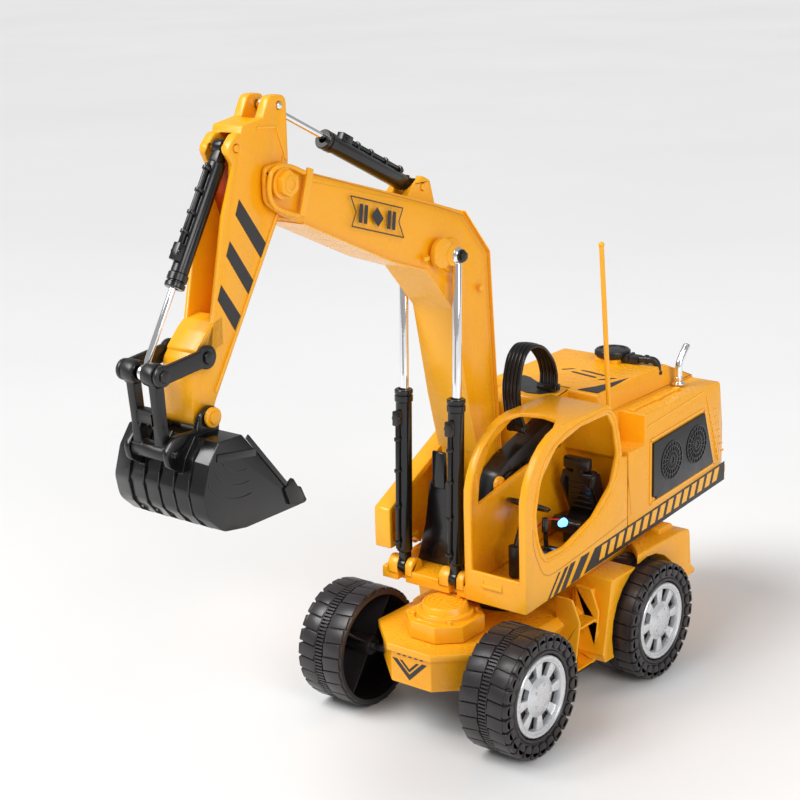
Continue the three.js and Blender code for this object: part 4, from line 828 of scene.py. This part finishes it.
makePiece("coverTrim", bm, paint["yellow"], "upper")

rosette = {"places": ((90, 112.4), (117.6, 114.2)), "radii": (2.4, 5.2, 8.2, 11), "spokes": 20}
bm = bmesh.new()
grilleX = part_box("side_grille")[1].x / mm
for y, z in rosette["places"]:
    for radius in rosette["radii"]:
        add(bm, ring(-0.2, 0.45, radius - 0.3, radius + 0.3, 0.1, 40), placed(grilleX, y, z) @ along)
    for i in range(rosette["spokes"]):
        angle = 2 * math.pi * i / rosette["spokes"]
        add(bm, block((2.4, -0.22, -0.2), (10.8, 0.22, 0.4), 0),
            placed(grilleX, y, z) @ along @ turnedTo(angle))
makePiece("grilleRosettes", bm, paint["black"], "upper")

bm = bmesh.new()
crescents = [[(14, 49), (27, 49), (27, 58), (26.6, 70), (25.4, 84), (24.4, 80), (22.4, 70), (19, 59)],
             [(-22.3, 39), (-14, 32), (-6.2, 29), (2, 31), (6, 37), (5.8, 42.7), (-4, 45.5), (-14, 50),
              (-22, 55.4), (-27.6, 57), (-26.6, 47)]]
for crescent in crescents:
    add(bm, plate(crescent, 0.2), placed(0, 0, coverTop - 0.6))
marks = [[(-17, 79), (-15.2, 78), (-6, 87), (-8, 88)], [(-9, 76.8), (9, 73.4), (9.6, 75.4), (-8.4, 78.8)],
         [(-6.4, 82.4), (11.4, 79), (12, 81), (-5.8, 84.4)],
         [(12.4, 71.6), (14.4, 71.4), (20.6, 78.6), (18.4, 79)]]
for mark in marks:
    add(bm, plate(mark, 0.16), placed(0, 0, coverTop - 0.6))
makePiece("coverMarks", bm, paint["decal"], "upper")

bm = bmesh.new()
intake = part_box("air_intake")
capTop = intake[1].z / mm
add(bm, turned([(capTop - 6.6, 0), (capTop - 6.6, 6.4), (capTop - 4.8, 6.6), (capTop - 4.2, 9.6),
                (capTop - 3.4, 10.1),
                (capTop - 1.2, 10.1), (capTop - 0.5, 9.6), (capTop - 0.2, 8.4), (capTop - 0.2, 7.6),
                (capTop - 0.7, 7.4),
                (capTop - 0.5, 3), (capTop - 0.4, 0)], 48), placed(-2, 110, 0))
for i in range(36):
    add(bm, block((9.8, -0.35, capTop - 3.5), (10.4, 0.35, capTop - 1.2), 0),
        placed(-2, 110, 0) @ turnedTo(i * math.pi / 18))
add(bm, block((5, 106.6, 159), (16.6, 113.2, 163.4), 0.8), Matrix.Translation((0, slewY, 0)))
add(bm, block((9, 105.8, 160), (11, 114, 164), 0.5), Matrix.Translation((0, slewY, 0)))
add(bm, wire([(15, 110, 161.4), (21, 110.4, 161.8), (24.6, 111.6, 161.4), (26, 112.6, 159.4),
              (26.2, 113, 156), (26.2, 113, 149)], 2.1))
add(bm, ring(153.4, 155.2, 1.6, 2.8, 0.3, 24), placed(26.2, 113, 0))
add(bm, ring(-1, 1, 1.6, 2.7, 0.3, 24), placed(20.4, 110.7, 161.7) @ along)
makePiece("airIntake", bm, paint["satinBlack"], "upper", ("air_intake",))

exhaust = {"x": 34.5, "y": 122.5, "foot": 146.4, "bore": 1.8}
bm = wire([(exhaust["x"], exhaust["y"], exhaust["foot"]), (34.5, 122.3, 153), (34.6, 123, 158.6),
           (34.8, 126.4, 163.2), (34.95, 130.6, 167.4)], 2.2)
for low, high, outer, y in ((146.4, 147.4, 4.0, 122.5), (147.3, 148.2, 3.0, 122.5), (150, 151, 2.7, 122.4)):
    add(bm, ring(low, high, exhaust["bore"], outer, 0.3, 32), placed(exhaust["x"], y, 0))
makePiece("exhaustPipe", bm, paint["chrome"], "upper", ("exhaust_pipe",))
# exhaust pipe's open end: a dark disc of painted shade, for the shade inside the hollow pipe
bm = bmesh.new()
add(bm, turned([(0, 0), (0.05, 1.7), (0.25, 1.7), (0.25, 0)], 20),
    placed(34.96, 130.9, 167.7) @ Matrix.Rotation(math.radians(-45), 4, "X"))
makePiece("exhaustMouthShade", bm, paint["decal"], "upper")

bm = wire([(39, 43.6, 128), (40, 38.8, 166), (41, 34, 206), (41.95, 29.2, 244.6)], 1.35)
add(bm, turned([(0, 0), (0, 2.6), (1, 2.6), (3.4, 2.2), (6, 1.5), (6, 0)], 24),
    placed(39, 43.7, 127.4) @ Matrix.Rotation(math.radians(7), 4, "X"))
tip = bmesh.new()
bmesh.ops.create_uvsphere(tip, u_segments=20, v_segments=12, radius=1.6 * mm)
add(bm, tip, placed(41.98, 29.1, 245))
makePiece("antenna", bm, paint["yellow"], "upper", ("antenna",))
print("engine cover dressed")

# ---- hoses behind the boom's foot ----
hoses = {"count": 5, "first": -3.1, "step": 2.32, "radius": 1.2}
route = [(9.5, 142), (4.6, 158), (5.4, 175), (12.4, 186.6), (21.4, 187.4), (32.4, 180.6), (39, 169),
         (38.8, 158.6)]
bm = bmesh.new()
for i in range(hoses["count"]):
    x = hoses["first"] + i * hoses["step"]
    lift = 0.5 * math.sin(math.pi * i / (hoses["count"] - 1))
    add(bm, wire([(x, y, z + lift) for y, z in route], hoses["radius"], smooth=10))
add(bm, block((-4.6, -2.8, -1.6), (7.8, 2.8, 2), 0.6), placed(0, 38.8, 160))
add(bm, block((-4.4, -2.2, -2), (7.6, 2.4, 2), 0.6), placed(0, 9.2, 144.4))
add(bm, drum(-0.4, 1, 1.5, 0.3, 16), placed(7.6, 38.8, 160.2) @ along)
makePiece("hoses", bm, paint["black"], "upper", ("hose_bundle",))

bracket = {"ribs": 8, "face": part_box("boom_bracket")[1].x / mm, "bolt": (-17.4, 121)}
bm = bmesh.new()
for i in range(bracket["ribs"]):
    y = -18 + i * 7
    add(bm, plate([(y, 100), (y + 1.4, 100), (y + 14, 124 + i * 2.2), (y + 12.6, 124 + i * 2.2)], 1.3),
        placed(bracket["face"] - 0.1, 0, 0) @ along)
_, pivotY, pivotZ = pinOf("boom_hinge")
add(bm, ring(-0.1, 1.1, 5.0, 7.2, 0.3), placed(bracket["face"], pivotY, pivotZ) @ along)
makePiece("bracketRibs", bm, paint["satinBlack"], "upper")
bm = drum(0, 1.0, 2.6, 0.3)
pinCap = bmesh.new()
add(pinCap, bm, placed(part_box("boom_pin")[1].x / mm - 0.2, pivotY, pivotZ) @ along)
boltY, boltZ = bracket["bolt"]
add(pinCap, drum(-0.4, 1.6, 4.2, 0.4), placed(bracket["face"], boltY, boltZ) @ along)
add(pinCap, drum(1.4, 2.2, 2.4, 0.3), placed(bracket["face"], boltY, boltZ) @ along)
makePiece("boomPinCap", pinCap, paint["yellow"], "upper")
print("hoses laid")

# ---- nose and gearbox ----
capX, capY, capTop = 0, -56.5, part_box("front_gearbox_cap")[1].z / mm
bm = bmesh.new()
for radius in (3.2, 6.2, 9.2, 11.2):
    add(bm, ring(-0.3, 0.5, radius - 0.35, radius + 0.35, 0.15, 48), placed(capX, capY, capTop - 0.1))
for i in range(12):
    add(bm, block((3, -0.3, -0.3), (11, 0.3, 0.35), 0.1),
        placed(capX, capY, capTop - 0.1) @ turnedTo(i * math.pi / 6))
add(bm, drum(-0.3, 0.6, 1.2, 0.3, 16), placed(capX, capY, capTop - 0.1))
makePiece("gearboxWeb", bm, paint["yellow"], "chassis")

noseY = -86.5
chevron = {"tip": (-0.9, 31.8), "wings": (-12, 42.2, 10.8, 43), "thick": 3.2}
bm = bmesh.new()
tipX, tipZ = chevron["tip"]
leftX, leftZ, rightX, rightZ = chevron["wings"]
for lift, grow in ((0, 1.0), (4.4, 0.56)):
    thick = chevron["thick"] * grow
    left, right = tipX + (leftX - tipX) * grow, tipX + (rightX - tipX) * grow
    leftUp, rightUp = tipZ + lift + (leftZ - tipZ) * grow, tipZ + lift + (rightZ - tipZ) * grow
    add(bm, plate([(left, leftUp), (tipX, tipZ + lift), (tipX, tipZ + lift + thick), (left + thick, leftUp)],
                  0.14),
        placed(0, noseY, 0) @ facing)
    add(bm, plate([(right, rightUp), (right - thick, rightUp), (tipX, tipZ + lift + thick),
                   (tipX, tipZ + lift)], 0.14),
        placed(0, noseY, 0) @ facing)
for i in range(5):
    x = -8.6 + i * 3.7
    add(bm, plate([(x, 44.6), (x + 2, 44.7), (x + 2.8, 47.6), (x + 0.8, 47.5)], 0.14),
        placed(0, noseY, 0) @ facing)
makePiece("noseChevron", bm, paint["decal"], "chassis")
print("nose dressed")

# ---- floor, light and camera ----
studio = {"floorRadius": 9.0, "floor": (0.9, 0.895, 0.89), "world": (0.95, 0.96, 0.98), "worldStrength": 0.42}
bm = bmesh.new()
bmesh.ops.create_circle(bm, cap_ends=True, segments=96, radius=studio["floorRadius"])
mesh = bpy.data.meshes.new("floor")
bm.to_mesh(mesh)
bm.free()
floor = bpy.data.objects.new("floor", mesh)
bpy.context.scene.collection.objects.link(floor)
floor.data.materials.append(mouldedFinish("paleFloor", {"colour": studio["floor"], "deep": (0.8, 0.795, 0.79),
                                                        "rub": 0,
                                                        "roughness": (0.5, 0.6), "mottle": 2, "bump": 0.02}))

suns = [  # turn about x and z in degrees, spread, strength
    (38, -28, 34, 1.9),
    (52, 62, 26, 0.75),
]
for i, (lean, heading, spread, strength) in enumerate(suns):
    data = bpy.data.lights.new(f"sky{i}", "SUN")
    data.angle = math.radians(spread)
    data.energy = strength
    sun = bpy.data.objects.new(f"sky{i}", data)
    sun.rotation_euler = (math.radians(lean), 0, math.radians(heading))
    bpy.context.scene.collection.objects.link(sun)
lights = [  # place, aim, size, power, colour
    ((-0.55, -0.7, 1.1), (0, 0, 0.15), 0.7, 5, (1, 0.99, 0.97)),
    ((1.2, -0.2, 0.5), (0, 0, 0.15), 0.5, 2.5, (1, 1, 1)),
]
for i, (place, aim, size, power, colour) in enumerate(lights):
    data = bpy.data.lights.new(f"softbox{i}", "AREA")
    data.shape = "SQUARE"
    data.size = size
    data.energy = power
    data.color = colour
    softbox = bpy.data.objects.new(f"softbox{i}", data)
    softbox.location = place
    softbox.rotation_euler = (Vector(place) - Vector(aim)).to_track_quat("Z", "Y").to_euler()
    bpy.context.scene.collection.objects.link(softbox)

world = bpy.data.worlds.new("studio")
bpy.context.scene.world = world
world.use_nodes = True
world.node_tree.nodes["Background"].inputs["Color"].default_value = (*studio["world"], 1)
world.node_tree.nodes["Background"].inputs["Strength"].default_value = studio["worldStrength"]
bpy.context.scene.view_settings.view_transform = "Standard"

view = {"place": (536.87, -745.03, 432.56), "right": (0.77957, 0.62557, -0.03064),
        "up": (-0.15336, 0.23808, 0.95906),
        "back": (0.60725, -0.74295, 0.28154), "lens": 80.74}
camera = bpy.data.objects.new("camera", bpy.data.cameras.new("camera"))
camera.data.lens = view["lens"]
camera.data.sensor_width = 36
camera.data.clip_start = 0.01
turn = Matrix((view["right"], view["up"], view["back"])).transposed()
camera.matrix_world = Matrix.Translation(spot(*view["place"])) @ turn.to_4x4()
bpy.context.scene.collection.objects.link(camera)
bpy.context.scene.camera = camera
print("studio lit")
